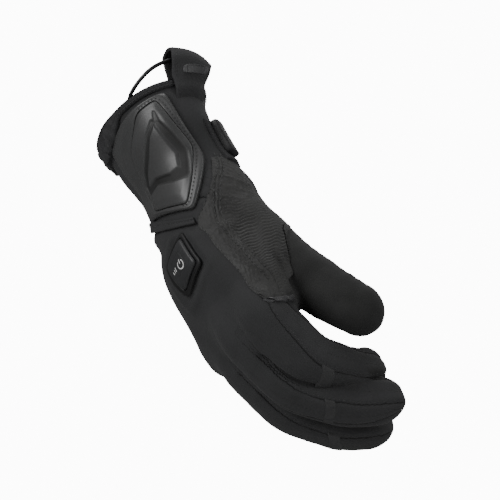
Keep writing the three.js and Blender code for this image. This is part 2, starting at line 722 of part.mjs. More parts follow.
function tabBadge() {
  const pathLength = LOOP_LENGTH * PULL_TAB_HEIGHT;
  const reach = (angle) => (Math.abs(Math.cos(angle)) ** 5 + Math.abs(Math.sin(angle)) ** 5) ** -0.2;
  return sheet((u, v, top) => {
    const angle = u * 2 * Math.PI;
    const across = (v * reach(angle) * Math.cos(angle) * BADGE_LENGTH) / PULL_TAB_WIDTH;
    const along = BADGE_ALONG + (v * reach(angle) * Math.sin(angle) * BADGE_WIDTH) / 2 / pathLength;
    return tabPoint(along, across, PULL_TAB_THICKNESS / 2 + GAP + (top ? BADGE_THICKNESS : 0));
  }, 16, 1, true);
}

// Elastic cord from inside the cuff, through the loop of the tab and back into the cuff.
function leashCord() {
  const points = CORD_POINTS.map((p) =>
    handPoint(p.around, Math.max(0, -p.up / HAND_LENGTH), p.out).setZ(p.up));
  const route = new THREE.CatmullRomCurve3(points, false, "centripetal");
  const section = new THREE.Shape();
  section.absarc(0, 0, CORD_DIAMETER / 2, 0, 2 * Math.PI);
  const options = { steps: 28, curveSegments: 4, extrudePath: route, bevelEnabled: false };
  return new THREE.ExtrudeGeometry(section, options);
}

// Finishes, as colour, roughness and metalness
const SOFTSHELL = ["#2b2c2e", 0.85, 0];
const SUEDE = ["#2a2a29", 0.9, 0];
const MOULDED = ["#3a3b3c", 0.35, 0];
const RUBBER = ["#1f2021", 0.6, 0];
const WEBBING = ["#26272a", 0.8, 0];
const CORD = ["#121314", 0.3, 0];

function geometryOf(shape) {
  if (shape.isBufferGeometry) return shape;
  const mesh = shape.getMesh();
  const geometry = new THREE.BufferGeometry();
  const points = new Float32Array(mesh.vertProperties);
  geometry.setAttribute("position", new THREE.BufferAttribute(points, mesh.numProp));
  geometry.setIndex(new THREE.BufferAttribute(new Uint32Array(mesh.triVerts), 1));
  geometry.computeVertexNormals();
  return geometry;
}

const glove = new THREE.Group();
function piece(name, shape, [color, roughness, metalness]) {
  const finish = new THREE.MeshStandardMaterial({ color, roughness, metalness });
  const mesh = new THREE.Mesh(geometryOf(shape), finish);
  mesh.name = name;
  glove.add(mesh);
}

piece("cuff_shell", cuffShell(), SOFTSHELL);
piece("hand_back", handPanel(false), SOFTSHELL);
piece("hand_palm", handPanel(true), SUEDE);
FINGERS.forEach((finger, place) => piece(`${finger.name}_stall`, fingerStall(finger, place), SOFTSHELL));
piece("thumb_stall", thumbStall(), SUEDE);
piece("rim_binding", rimBinding(), WEBBING);
piece("wrist_band", wristBand(), WEBBING);
piece("guard_frame", guardFrame(), MOULDED);
piece("guard_pad", guardPad(), MOULDED);
piece("button_bezel", buttonBezel(), RUBBER);
piece("power_button", powerButton(), RUBBER);
piece("side_panel", sidePanel(), SUEDE);
piece("side_hem", sideHem(), RUBBER);
FINGERS.forEach((finger, place) => piece(`${finger.name}_flex_band`, flexBand(finger, place), RUBBER));
piece("wrist_strap", wristStrap(), WEBBING);
piece("strap_tab", strapTab(), RUBBER);
piece("pull_tab", pullTab(), WEBBING);
piece("tab_badge", tabBadge(), RUBBER);
piece("leash_cord", leashCord(), CORD);

export default glove;
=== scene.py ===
"""Heated winter glove for the right hand: the looks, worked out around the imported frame.

Sizes are millimetres and degrees until a mesh is made, which is in metres. Every surface is a
function of two parameters on a grid, or a profile carried along a path, computed as whole arrays.
"""
import math

import bmesh
import bpy
import numpy as np
from mathutils import Matrix, Vector


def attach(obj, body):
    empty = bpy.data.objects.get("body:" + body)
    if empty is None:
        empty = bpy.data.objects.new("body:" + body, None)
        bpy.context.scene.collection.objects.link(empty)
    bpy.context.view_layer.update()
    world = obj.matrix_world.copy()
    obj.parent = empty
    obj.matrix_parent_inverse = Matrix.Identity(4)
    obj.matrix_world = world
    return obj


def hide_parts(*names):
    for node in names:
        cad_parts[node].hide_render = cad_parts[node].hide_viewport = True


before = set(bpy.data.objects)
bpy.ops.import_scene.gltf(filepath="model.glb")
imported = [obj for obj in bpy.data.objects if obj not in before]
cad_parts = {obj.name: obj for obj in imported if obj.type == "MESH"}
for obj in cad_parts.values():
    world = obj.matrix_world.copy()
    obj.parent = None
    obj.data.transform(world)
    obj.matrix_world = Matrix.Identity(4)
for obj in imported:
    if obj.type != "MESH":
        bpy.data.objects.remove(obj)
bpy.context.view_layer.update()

MM = 0.001


def table(columns, rows):
    """Rows under named columns, as one array for each column."""
    return {name: np.array(values, float) for name, values in zip(columns.split(), zip(*rows))}


# Driving sizes, the same as the frame's
HAND_LENGTH = 150.0
PALM_WIDTH = 102.0
PALM_DEPTH = 64.0
WALL = 3.0
GAP = 0.35
SEAM_LIFT = 0.25
RIM_DROP = 1.9
FINGER_WIDTH = 27.0
THUMB_WIDTH = 38.0
TIP_ROUND = 14.0
ROOT_ROUND = 22.0
ROOT_DEPTH = 10.0
WRIST_HEIGHT = -0.457 * HAND_LENGTH
BAND_TILT = 24.0
PULL_TAB_WIDTH = 31.0
PULL_TAB_HEIGHT = 20.0
PULL_TAB_THICKNESS = 2.0
BINDING_THICKNESS = 1.3
BADGE_LENGTH = 20.0
BADGE_WIDTH = 8.5
CORD_DIAMETER = 2.4
BUTTON_SHARE = 0.8

# Sections of the hand. down is a share of HAND_LENGTH, width a half width as a share of PALM_WIDTH,
# depth and shift are shares of PALM_DEPTH, corner is the ellipse's power.
HAND = table("down width depth shift corner", [
    (0.0, 0.424, 0.46, -0.034, 2.2),
    (0.133, 0.42, 0.388, -0.026, 2.2),
    (0.287, 0.376, 0.374, 0.041, 2.2),
    (0.453, 0.414, 0.45, 0.084, 2.2),
    (0.653, 0.437, 0.5, 0.087, 2.3),
    (0.853, 0.49, 0.33, 0.047, 2.6),
    (0.953, 0.478, 0.31, 0.075, 2.7),
    (1.0, 0.43, 0.25, 0.094, 2.6),
])

# Folds and gathers of the hand: spread is a half angle, run a share of HAND_LENGTH, rise in millimetres.
FOLDS = table("around down spread run rise", [
    (-118, 0.13, 7, 0.14, 1.5),
    (-132, 0.15, 6, 0.13, -1.35),
    (-146, 0.13, 7, 0.15, 1.65),
    (-162, 0.16, 7, 0.13, -1.35),
    (-178, 0.14, 8, 0.15, 1.5),
    (-125, 0.48, 26, 0.03, -1.2),
    (95, 0.5, 40, 0.035, -1.8),
    (120, 0.62, 34, 0.05, 1.5),
    (90, 0.8, 45, 0.05, -1.5),
])

# Root places as shares of PALM_WIDTH, PALM_DEPTH and HAND_LENGTH; splay, turn and pitch aim a finger;
# first, second and third bend its joints.
FINGER_ROWS = [
    ("index", 103.4, 0.372, -0.039, -0.883, 4.6, 29, 0.3, 34.5, 44, 16.8),
    ("middle", 117, 0.122, -0.102, -0.871, 5.9, 4.7, -2.6, 26.8, 35.3, 19.6),
    ("ring", 112, -0.137, -0.016, -0.893, -5.1, -7.7, -2.2, 28.4, 26.8, 21.9),
    ("little", 92, -0.375, 0.189, -0.843, -6.7, -20.9, -1.4, 25.2, 26.3, 12),
    ("thumb", 111, 0.214, 0.108, -0.4945, -6.2, -30.3, 21, 9.4, 5.9, 3),
]
FINGER_COLUMNS = "name length x y z splay turn pitch first second third".split()
FINGERS = {row[0]: dict(zip(FINGER_COLUMNS, row)) for row in FINGER_ROWS}
BENDS = table("at run", [(0.13, 0.27), (0.48, 0.235), (0.75, 0.18)])
LONG_SECTIONS = table("along width depth", [
    (0, 0.5, 0.53), (0.3, 0.495, 0.515), (0.6, 0.478, 0.488), (0.85, 0.45, 0.45), (1, 0.44, 0.425),
])
LITTLE_SECTIONS = table("along width depth", [
    (0, 0.445, 0.48), (0.3, 0.44, 0.46), (0.6, 0.42, 0.44), (1, 0.39, 0.39),
])
THUMB_SECTIONS = table("along width depth", [
    (0, 0.58, 0.526), (0.3, 0.5, 0.474), (0.6, 0.434, 0.408), (0.85, 0.408, 0.368), (1, 0.382, 0.342),
])
SECTIONS = {"little": LITTLE_SECTIONS, "thumb": THUMB_SECTIONS}

GUARD = table("around down", [
    (-9, 0.042), (-58, 0.04), (-102, 0.075), (-102, 0.382), (-38, 0.507), (-2, 0.32),
])
PAD = table("around down", [
    (-22, 0.062), (-46, 0.07), (-76, 0.165), (-88, 0.29), (-83, 0.395), (-42, 0.475), (-9, 0.27),
])
BUTTON = table("around down", [(-58, 0.545), (-51, 0.702), (-89, 0.752), (-94, 0.597)])

# Recess of the moulded pad: a route with its half width and depth in millimetres.
RECESS_RIGHT = table("around down half deep", [
    (-30, 0.107, 1.2, 0.4), (-32.5, 0.15, 3.2, 0.75), (-28, 0.213, 4.6, 0.9), (-23.5, 0.28, 5, 0.9),
    (-32, 0.35, 4.6, 0.9), (-47.5, 0.347, 3, 0.9), (-65.5, 0.317, 2.4, 0.9), (-79, 0.323, 2.2, 0.7),
])
RECESS_LEFT = table("around down half deep", [
    (-36.5, 0.137, 2, 0.7), (-48, 0.17, 1.6, 0.8), (-60.5, 0.22, 2.1, 0.8), (-72.5, 0.26, 2.1, 0.8),
    (-79, 0.297, 1.8, 0.8), (-79, 0.323, 2.2, 0.7),
])

PANEL = table("down left right", [
    (0.31, 4, 16), (0.37, -4, 30), (0.45, -17, 35), (0.51, -31, 42), (0.555, -42, 45),
    (0.62, -36.5, 45), (0.71, -32, 42), (0.82, -29, 37), (0.9, -23.5, 31), (0.957, -17, 22),
])
DOUBLE_LINE = table("down around", [
    (0.31, 14), (0.347, 10), (0.46, -9), (0.573, -18), (0.647, -14), (0.727, -8), (0.797, -3.5), (0.88, 2.5),
])

# Ribbed bands: share of the finger's length, slant, and the angles round the finger where they end
FLEX_BANDS = {"index": (0.525, 0.08, -126, -44), "middle": (0.63, 0.06, -116, -40),
              "ring": (0.715, 0.05, -112, -38), "little": (0.71, 0.04, -118, -36)}
FLEX_BAND_WIDTH = 6.0

TAB_PATH = table("out up width", [
    (0.8, -0.75, 1.0), (0.95, -0.1, 0.9), (1.1, 0.25, 0.9), (1.3, 0.6, 0.96), (1.1, 0.88, 0.84),
    (0.5, 1.0, 0.78), (-0.1, 0.9, 0.84), (-0.2, 0.6, 0.82), (-0.05, 0.2, 0.84), (0, -0.4, 0.9),
])
TAB_AROUND = 24.0
TAB_LEAN = 6.5  # degrees its top leans round the cuff
TAB_FLARE = 4.2  # its far edge stands out
TAB_DROOP = 2.6

CORD_POINTS = table("around out up", [
    (-62, -12, -14), (-61, -10.5, -7), (-58, -8.5, -1.5), (-53, -6.6, 2.6), (-47, -5.8, 4.9), (-40.1, -5.5, 6.6),
    (-26.9, -5, 9.2),
    (-15.6, -4, 11.1), (-5.3, -2.5, 12.3), (4.5, -1, 13), (16.1, 0, 13.6), (30, 0.6, 14), (46, 0.6, 13.6),
    (60, -1.6, 11.4), (69, -5, 6), (72, -7, -2), (73, -7, -14),
])

# Camera: turned about +Z from -Y, raised from the level, rolled, and aimed at a point of the glove.
CAMERA_AZIMUTH = 65.48
CAMERA_ELEVATION = -20.62
CAMERA_ROLL = 22.9
CAMERA_TARGET = np.array([2.6, 21.6, -93.5])
CAMERA_DISTANCE = 1200.0
CAMERA_LENS = 154.1


# Curves and waves

def curve(keys, values, at):
    """A smooth curve through the keys that never overshoots them: cubic pieces whose slopes at the
    keys are the harmonic means of the slopes beside them."""
    slopes = np.diff(values) / np.diff(keys)
    before, after = slopes[:-1], slopes[1:]
    flat = before * after <= 0
    mean = 2 * before * after / np.where(flat, 1, before + after)
    tangents = np.concatenate([slopes[:1], np.where(flat, 0, mean), slopes[-1:]])
    x = np.clip(at, keys[0], keys[-1])
    i = np.clip(np.searchsorted(keys, x, side="left") - 1, 0, len(keys) - 2)
    step = keys[i + 1] - keys[i]
    t = (x - keys[i]) / step
    s = 1 - t
    return (values[i] * (1 + 2 * t) * s * s + tangents[i] * step * t * s * s
            + values[i + 1] * (3 - 2 * t) * t * t - tangents[i + 1] * step * t * t * s)


def along_rows(rows, names, t):
    """Columns of a table read at a share t of its rows, as smooth curves."""
    keys = np.linspace(0, 1, len(rows[names[0]]))
    return [curve(keys, rows[name], t) for name in names]


def ease(t):
    x = np.clip(t, 0, 1)
    return x * x * (3 - 2 * x)


def signed_power(value, power):
    return np.sign(value) * np.abs(value) ** power


def hump(x, middle, spread):
    return np.exp(-(((x - middle) / spread) ** 2))


def turn_from(around, middle):
    return (around - middle + 180) % 360 - 180


def unit(vectors):
    return vectors / np.maximum(np.linalg.norm(vectors, axis=-1, keepdims=True), 1e-9)


def ripple(points, length, seed, waves=16):
    """Smooth irregular relief of about unit height: a sum of sine waves near one length, in random
    directions."""
    rng = np.random.default_rng(seed)
    directions = unit(rng.normal(size=(waves, 3)))
    numbers = 2 * np.pi / (length * rng.uniform(0.75, 1.5, waves))
    phases = rng.uniform(0, 2 * np.pi, waves)
    return np.sin(points @ (directions * numbers[:, None]).T + phases).sum(-1) / math.sqrt(waves)


# The hand and the fingers as functions of two parameters

def hand_size(down):
    share = np.clip(down, 0, 1)
    return [curve(HAND["down"], HAND[name], share) for name in ("width", "depth", "shift", "corner")]


def hand_folds(around, down):
    """Sum of round humps and dents, faded in from the opening."""
    total = 0
    for a, d, spread, run, rise in zip(*(FOLDS[n] for n in ("around", "down", "spread", "run", "rise"))):
        total = total + rise * hump(turn_from(around, a), 0, spread) * hump(down, d, run) * ease(down / d)
    return total


def hand_point(around, down, lift=0.0):
    """A rounded ellipse at each height: half width times the cosine and half depth times the sine of the
    angle, each raised to 2 over the corner's power."""
    around, down, lift = np.broadcast_arrays(*(np.asarray(v, float) for v in (around, down, lift)))
    width, depth, shift, corner = hand_size(down)
    grow = lift + hand_folds(around, np.clip(down, 0, 1))
    angle = np.radians(around)
    return np.stack([
        (width * PALM_WIDTH + grow) * signed_power(np.cos(angle), 2 / corner),
        shift * PALM_DEPTH + (depth * PALM_DEPTH + grow) * signed_power(np.sin(angle), 2 / corner),
        -down * HAND_LENGTH,
    ], -1)


def hand_place(points):
    """Angle, share of the length and radial reach, 1 on the surface, of points round the hand."""
    down = -points[..., 2] / HAND_LENGTH
    width, depth, shift, corner = hand_size(down)
    x = points[..., 0] / (width * PALM_WIDTH)
    y = (points[..., 1] - shift * PALM_DEPTH) / (depth * PALM_DEPTH)
    around = np.degrees(np.arctan2(signed_power(y, corner / 2), signed_power(x, corner / 2)))
    reach = (np.abs(x) ** corner + np.abs(y) ** corner) ** (1 / corner)
    return around, down, reach


def finger_frames(name, along):
    """Points of a finger's middle line with its side, palm and forward directions: a straight start,
    then the direction turns by an eased share of each joint's bend."""
    finger = FINGERS[name]
    splay, turn = math.radians(finger["splay"]), math.radians(finger["turn"])
    down = np.array([math.sin(splay), 0, -math.cos(splay)])
    outward = np.array([-math.cos(splay), 0, -math.sin(splay)])
    palmward = np.array([0.0, 1, 0])
    bend_side = palmward * math.cos(turn) + outward * math.sin(turn)
    side = outward * math.cos(turn) - palmward * math.sin(turn)
    length = finger["length"]

    def angle(s):
        bends = [finger[joint] * ease((s / length - at) / run + 0.5)
                 for joint, at, run in zip(("first", "second", "third"), BENDS["at"], BENDS["run"])]
        return np.radians(finger["pitch"] + sum(bends))[..., None]

    fine = np.linspace(-2 * ROOT_DEPTH, length + ROOT_DEPTH, 700)
    forward = np.cos(angle(fine)) * down + np.sin(angle(fine)) * bend_side
    steps = (forward[1:] + forward[:-1]) / 2 * (fine[1] - fine[0])
    line = np.concatenate([np.zeros((1, 3)), np.cumsum(steps, 0)])
    start = np.array([np.interp(0, fine, line[:, k]) for k in range(3)])
    root = np.array([finger["x"] * PALM_WIDTH, finger["y"] * PALM_DEPTH, finger["z"] * HAND_LENGTH])
    along = np.asarray(along, float)
    middle = np.stack([np.interp(along, fine, line[:, k]) for k in range(3)], -1) - start + root
    turned = angle(along)
    palm = -np.sin(turned) * down + np.cos(turned) * bend_side
    ahead = np.cos(turned) * down + np.sin(turned) * bend_side
    return middle, side, palm, ahead


def finger_size(name, along, lift=0.0):
    """Half width, half depth, rounding at the two ends, and corner power of a finger at a length."""
    length = FINGERS[name]["length"]
    rows = SECTIONS.get(name, LONG_SECTIONS)
    size = THUMB_WIDTH if name == "thumb" else FINGER_WIDTH
    share = np.clip(along / length, 0, 1)
    tip = np.clip((length + lift - along) / TIP_ROUND, 0, 1)
    root = np.clip((along + ROOT_DEPTH + lift) / ROOT_ROUND, 0, 1)
    rounding = np.sqrt(1 - (1 - tip) ** 2) * np.sqrt(1 - (1 - root) ** 2)
    width = curve(rows["along"], rows["width"], share) * size + lift
    depth = curve(rows["along"], rows["depth"], share) * size + lift
    return width, depth, rounding, 2.4 if name == "thumb" else 2.9


def finger_point(name, along, around, lift=0.0):
    """A rounded ellipse across the middle line: 0 degrees is the thumb side and -90 the back."""
    along, around = np.broadcast_arrays(np.asarray(along, float), np.asarray(around, float))
    middle, side, palm, _ = finger_frames(name, along)
    width, depth, rounding, corner = finger_size(name, along, lift)
    angle = np.radians(around)
    across = (width * rounding * signed_power(np.cos(angle), 2 / corner))[..., None]
    through = (depth * rounding * signed_power(np.sin(angle), 2 / corner))[..., None]
    return middle - side * across + palm * through


def finger_place(name, points):
    """Length along, angle and clearance in millimetres of points round a finger."""
    length = FINGERS[name]["length"]
    stations = np.linspace(-ROOT_DEPTH, length, 180)
    middle, side, palm, _ = finger_frames(name, stations)
    near = np.concatenate([
        ((part[:, None] - middle[None]) ** 2).sum(-1).argmin(1) for part in np.array_split(points, 12)])
    along = stations[near]
    offset = points - middle[near]
    across = -(offset @ side)
    through = (offset * palm[near]).sum(-1)
    width, depth, _, corner = finger_size(name, along)
    root = 0.25 + 0.75 * ease((along + ROOT_DEPTH) / ROOT_ROUND)
    x, y = across / (width * root), through / (depth * root)
    reach = (np.abs(x) ** corner + np.abs(y) ** corner) ** (1 / corner)
    around = np.degrees(np.arctan2(signed_power(y, corner / 2), signed_power(x, corner / 2)))
    return along, around, (reach - 1) * width


# Meshes

def mesh_from(name, points, faces):
    mesh = bpy.data.meshes.new(name)
    mesh.from_pydata((np.asarray(points).reshape(-1, 3) * MM).tolist(), [], faces)
    mesh.validate()
    return mesh


def linked(name, mesh):
    obj = bpy.data.objects.new(name, mesh)
    bpy.context.scene.collection.objects.link(obj)
    return obj


def applied(obj):
    """The object's mesh with its modifiers applied; the object itself is removed."""
    evaluated = obj.evaluated_get(bpy.context.evaluated_depsgraph_get())
    mesh = bpy.data.meshes.new_from_object(evaluated)
    bpy.data.objects.remove(obj)
    return mesh


def positions(mesh):
    flat = np.empty(len(mesh.vertices) * 3, np.float32)
    mesh.vertices.foreach_get("co", flat)
    return flat.reshape(-1, 3).astype(float) / MM


def normals_of(mesh):
    flat = np.empty(len(mesh.vertices) * 3, np.float32)
    mesh.vertex_normals.foreach_get("vector", flat)
    return flat.reshape(-1, 3).astype(float)


def place_vertices(mesh, points):
    mesh.vertices.foreach_set("co", (points * MM).astype(np.float32).ravel())
    mesh.update()


def set_attribute(mesh, name, values):
    layer = mesh.attributes.new(name, "FLOAT", "POINT")
    layer.data.foreach_set("value", np.asarray(values, np.float32).ravel())


def grid_quads(rows, columns, wrap, start=0, flip=False):
    """Corner numbers of a grid's quads, closed round the columns with wrap."""
    width = columns if wrap else columns - 1
    r, c = np.meshgrid(np.arange(rows - 1), np.arange(width), indexing="ij")
    n = (c + 1) % columns
    quads = np.stack([r * columns + c, r * columns + n, (r + 1) * columns + n, (r + 1) * columns + c], -1)
    quads = quads.reshape(-1, 4) + start
    return quads[:, ::-1] if flip else quads


def closed_sheet(name, top, bottom, wrap=False):
    """A closed mesh from an upper and a lower grid of points, joined along their open edges."""
    rows, columns = top.shape[:2]
    count = rows * columns
    number = np.arange(count).reshape(rows, columns)
    edges = [number[0], number[-1][::-1]]
    if not wrap:
        edges += [number[::-1, 0], number[:, -1]]
    walls = []
    for edge in edges:
        ring = np.append(edge, edge[0]) if wrap else edge
        a, b = ring[:-1], ring[1:]
        walls.append(np.stack([a, a + count, b + count, b], -1))
    faces = np.concatenate([
        grid_quads(rows, columns, wrap), grid_quads(rows, columns, wrap, count, flip=True), *walls])
    return welded(mesh_from(name, np.concatenate([top.reshape(-1, 3), bottom.reshape(-1, 3)]), faces.tolist()))


def welded(mesh, distance=1e-5):
    """Merges points that meet, drops what that leaves flat and turns the faces outwards."""
    work = bmesh.new()
    work.from_mesh(mesh)
    bmesh.ops.remove_doubles(work, verts=work.verts, dist=distance)
    bmesh.ops.dissolve_degenerate(work, edges=work.edges, dist=distance)
    bmesh.ops.recalc_face_normals(work, faces=work.faces)
    if work.calc_volume(signed=True) < 0:
        bmesh.ops.reverse_faces(work, faces=work.faces)
    work.to_mesh(mesh)
    work.free()
    return mesh


def swept(name, rings, closed=False):
    """A tube through rings of points: its ends are fans, or it closes on itself."""
    rows, columns = rings.shape[:2]
    points = rings.reshape(-1, 3)
    faces = grid_quads(rows, columns, True).tolist()
    if closed:
        last = (rows - 1) * columns
        turn = np.arange(columns)
        ahead = (turn + 1) % columns
        faces += np.stack([last + turn, last + ahead, ahead, turn], -1).tolist()
    else:
        faces += [list(range(columns))[::-1], list(range((rows - 1) * columns, rows * columns))]
    return welded(mesh_from(name, points, faces))


def piece(name, mesh, material, replaces=(), sharp=38):
    """Gives a finished mesh its object, finish and body, and hides the frame's parts it replaces."""
    obj = linked(name, mesh)
    mesh.shade_smooth()
    if sharp:
        mesh.set_sharp_from_angle(angle=math.radians(sharp))
    mesh.materials.append(material)
    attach(obj, "root")
    if replaces:
        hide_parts(*replaces)
    return obj


# Lines on the glove: seams and rows of stitches

def route(tube, places, lift=0.0, step=0.6):
    """Points at even steps along a smooth line through places on the hand or on a finger. A place is
    (down, around) on the hand and (share of the length, around) on a finger."""
    rows = np.array(places, float)
    keys = np.linspace(0, 1, len(rows))
    fine = np.linspace(0, 1, 60 * len(rows))
    along, around = curve(keys, rows[:, 0], fine), curve(keys, rows[:, 1], fine)
    if tube == "hand":
        line = hand_point(around, along, lift)
    else:
        line = finger_point(tube, along * FINGERS[tube]["length"], around, lift)
    reach = np.concatenate([[0], np.cumsum(np.linalg.norm(np.diff(line, axis=0), axis=1))])
    even = np.linspace(0, reach[-1], max(3, int(reach[-1] / step)))
    return np.stack([np.interp(even, reach, line[:, k]) for k in range(3)], -1)


FINGER_SEAMS = {
    "index": [[(0.02, -20), (0.127, -35), (0.214, -43), (0.359, -49), (0.468, -54), (0.609, -47), (0.845, -44),
               (0.96, -44)],
              [(0.2, -146), (0.35, -142), (0.55, -124), (0.636, -110), (0.741, -92), (0.85, -72), (0.93, -56)],
              [(0.14, 4), (0.264, 12), (0.427, 26), (0.668, 28), (0.832, 14), (0.95, 2)],
              [(0.2, 150), (0.45, 148), (0.7, 146), (0.93, 140)]],
    "middle": [[(0.2, -44), (0.309, -44), (0.445, -46), (0.573, -46), (0.695, -38), (0.873, -32), (0.96, -32)],
               [(0.2, -128), (0.418, -120), (0.527, -113), (0.65, -105), (0.764, -97), (0.864, -86), (0.94, -70)],
               [(0.2, 34), (0.5, 34), (0.8, 32), (0.95, 30)],
               [(0.2, 148), (0.5, 148), (0.8, 146), (0.95, 140)]],
    "ring": [[(0.2, -40), (0.318, -39), (0.445, -41), (0.564, -45), (0.673, -46), (0.795, -41), (0.95, -37)],
             [(0.2, -124), (0.4, -120), (0.6, -110), (0.78, -100), (0.94, -84)],
             [(0.2, 34), (0.5, 34), (0.8, 32), (0.95, 30)],
             [(0.2, 148), (0.5, 148), (0.8, 146), (0.95, 140)]],
    "little": [[(0.2, -42), (0.4, -44), (0.6, -46), (0.8, -42), (0.95, -38)],
               [(0.1, -132), (0.4, -130), (0.7, -124), (0.94, -116)],
               [(0.2, 34), (0.5, 34), (0.8, 32), (0.95, 30)],
               [(0.1, 150), (0.5, 148), (0.8, 146), (0.95, 140)]],
    "thumb": [[(0.26, 92), (0.4, 88), (0.54, 85), (0.7, 83), (0.84, 83), (0.95, 84)],
              [(0.26, -88), (0.45, -88), (0.7, -88), (0.95, -90)]],
}
HAND_SEAMS = [
    [(0.03, 178), (0.25, 178), (0.5, 180), (0.75, 178), (0.98, 172)],
    [(0.36, 62), (0.46, 78), (0.52, 96), (0.5, 120), (0.47, 150), (0.44, 176)],
    [(0.433, -3), (0.46, 8), (0.483, 21), (0.5, 33)],
    [(0.47, -31), (0.483, -22), (0.497, -13)],
]


def all_seams():
    lines = [route("hand", places) for places in HAND_SEAMS]
    for name, seams in FINGER_SEAMS.items():
        lines += [route(name, places) for places in seams]
    return lines


SEAM_FAR = 9.0


def seam_field(points, normals, lines):
    """Signed distance to the nearest seam, positive to its left seen from outside, and the length run
    along that seam."""
    away = np.full(len(points), SEAM_FAR)
    run = np.zeros(len(points))
    for line in lines:
        tangent = unit(np.gradient(line, axis=0))
        lengths = np.concatenate([[0], np.cumsum(np.linalg.norm(np.diff(line, axis=0), axis=1))])
        low, high = line.min(0) - SEAM_FAR, line.max(0) + SEAM_FAR
        near = np.flatnonzero(((points > low) & (points < high)).all(1))
        offset = points[near][:, None] - line[None]
        squares = (offset ** 2).sum(-1)
        best = squares.argmin(1)
        here = offset[np.arange(len(near)), best]
        radial = np.sqrt(squares.min(1))
        side = (here * np.cross(tangent[best], normals[near])).sum(-1)
        closer = radial < np.abs(away[near])
        chosen = near[closer]
        away[chosen] = np.copysign(radial, side)[closer]
        run[chosen] = (lengths[best] + (here * tangent[best]).sum(-1))[closer]
    return away, run


# Outlines of the moulded pieces, as reaches about a middle in degrees and hundredths of the length

def middle_of(corners):
    return np.array([corners["around"].mean(), corners["down"].mean() * 100])


def outline_reach(corners, middle, sharpness, angle):
    """Reach of a convex outline with rounded corners: the power sum of the distances to its edges."""
    flat = np.stack([corners["around"], corners["down"] * 100], -1) - middle
    ahead = np.roll(flat, -1, axis=0)
    normal = unit(np.stack([ahead[:, 1] - flat[:, 1], flat[:, 0] - ahead[:, 0]], -1))
    distance = (normal * flat).sum(-1)
    normal, distance = normal * np.sign(distance)[:, None], np.abs(distance)
    facing = np.cos(angle)[..., None] * normal[:, 0] + np.sin(angle)[..., None] * normal[:, 1]
    return (np.maximum(0, facing / distance) ** sharpness).sum(-1) ** (-1 / sharpness)


GUARD_MIDDLE = middle_of(GUARD)
BUTTON_MIDDLE = middle_of(BUTTON)


def polar_share(around, down, corners, middle, sharpness):
    """How far out a place lies in an outline: 0 in the middle, 1 on its edge."""
    x, y = turn_from(around, middle[0]), down * 100 - middle[1]
    return np.hypot(x, y) / outline_reach(corners, middle, sharpness, np.arctan2(y, x))


# The sewn body: cuff, hand, fingers and thumb as one cloth shell with its lining

CLOTH_VOXEL = 1.05
LINING_VOXEL = 2.6


def ring_tube(rings):
    """Points and faces of a closed tube of rings, each end one flat face."""
    rows, columns = rings.shape[:2]
    faces = grid_quads(rows, columns, True).tolist()
    faces += [list(range(columns))[::-1], list(range((rows - 1) * columns, rows * columns))]
    return rings.reshape(-1, 3), faces


def union_of(forms, voxel):
    """One closed skin round overlapping closed tubes."""
    points, faces = [], []
    start = 0
    for tube_points, tube_faces in forms:
        points.append(tube_points)
        faces += [[corner + start for corner in face] for face in tube_faces]
        start += len(tube_points)
    mesh = mesh_from("form", np.concatenate(points), faces)
    work = bmesh.new()
    work.from_mesh(mesh)
    bmesh.ops.recalc_face_normals(work, faces=work.faces)
    work.to_mesh(mesh)
    work.free()
    obj = linked("form", mesh)
    remesh = obj.modifiers.new("Remesh", "REMESH")
    remesh.mode = "VOXEL"
    remesh.voxel_size = voxel * MM
    remesh.adaptivity = 0
    return applied(obj)


def body_forms(lift, sides):
    """The hand from above the opening to a domed end, and the five fingers, grown by lift."""
    above = 5.0
    around = np.arange(sides) * 360 / sides
    downs = np.concatenate([[-above / HAND_LENGTH], np.linspace(0, 1, 90)])
    rings = hand_point(around[None], downs[:, None], lift)
    dome = np.radians(np.linspace(0, 88, 8))[1:, None, None]
    centre = rings[-1].mean(0)
    end = centre + (rings[-1] - centre)[None] * np.cos(dome) + np.array([0, 0, -6.0]) * np.sin(dome)
    forms = [ring_tube(np.concatenate([rings, end]))]
    for name, finger in FINGERS.items():
        stop = finger["length"] + lift
        start = -ROOT_DEPTH - lift
        quarter = np.radians(np.linspace(2, 90, 12))
        along = np.concatenate([
            start + ROOT_ROUND * (1 - np.cos(quarter)),
            np.linspace(start + ROOT_ROUND, stop - TIP_ROUND, 90)[1:-1],
            (stop - TIP_ROUND * (1 - np.cos(quarter)))[::-1]])
        forms.append(ring_tube(finger_point(name, along[:, None], around[None], lift)))
    return forms


def relaxed(points, edges, amount, rounds):
    """Each round moves every point towards the mean of its neighbours by its own amount."""
    count = len(points)
    first, second = edges.T
    valence = np.maximum(np.bincount(first, minlength=count) + np.bincount(second, minlength=count), 1)
    for _ in range(rounds):
        mean = np.stack([
            (np.bincount(first, points[second, k], count) + np.bincount(second, points[first, k], count))
            / valence for k in range(points.shape[1])], -1)
        points = points + (mean - points) * amount[:, None]
    return points


def valleys_filled(mesh, points, edges, amount, rounds):
    """Points where amount is over 0 move out along their normals towards the mean of their neighbours
    and never in, so hollows fill and swellings stay."""
    busy = amount > 0.01
    kept = edges[busy[edges].any(1)]
    used, flat = np.unique(kept, return_inverse=True)
    kept = flat.reshape(-1, 2)
    here, share = points[used], amount[used]
    for turn in range(rounds):
        if turn % 15 == 0:
            place_vertices(mesh, points)
            normals = normals_of(mesh)[used]
        there = relaxed(here, kept, np.ones(len(here)), 1)
        rise = ((there - here) * normals).sum(-1)
        here = here + (there - here) * (0.4 * share * (rise < 0))[:, None] * 0.5
        here = here + normals * (np.maximum(rise, 0) * 1.4 * share)[:, None]
        points[used] = here
    return points


def edges_of(mesh):
    flat = np.empty(len(mesh.edges) * 2, np.int32)
    mesh.edges.foreach_get("vertices", flat)
    return flat.reshape(-1, 2)


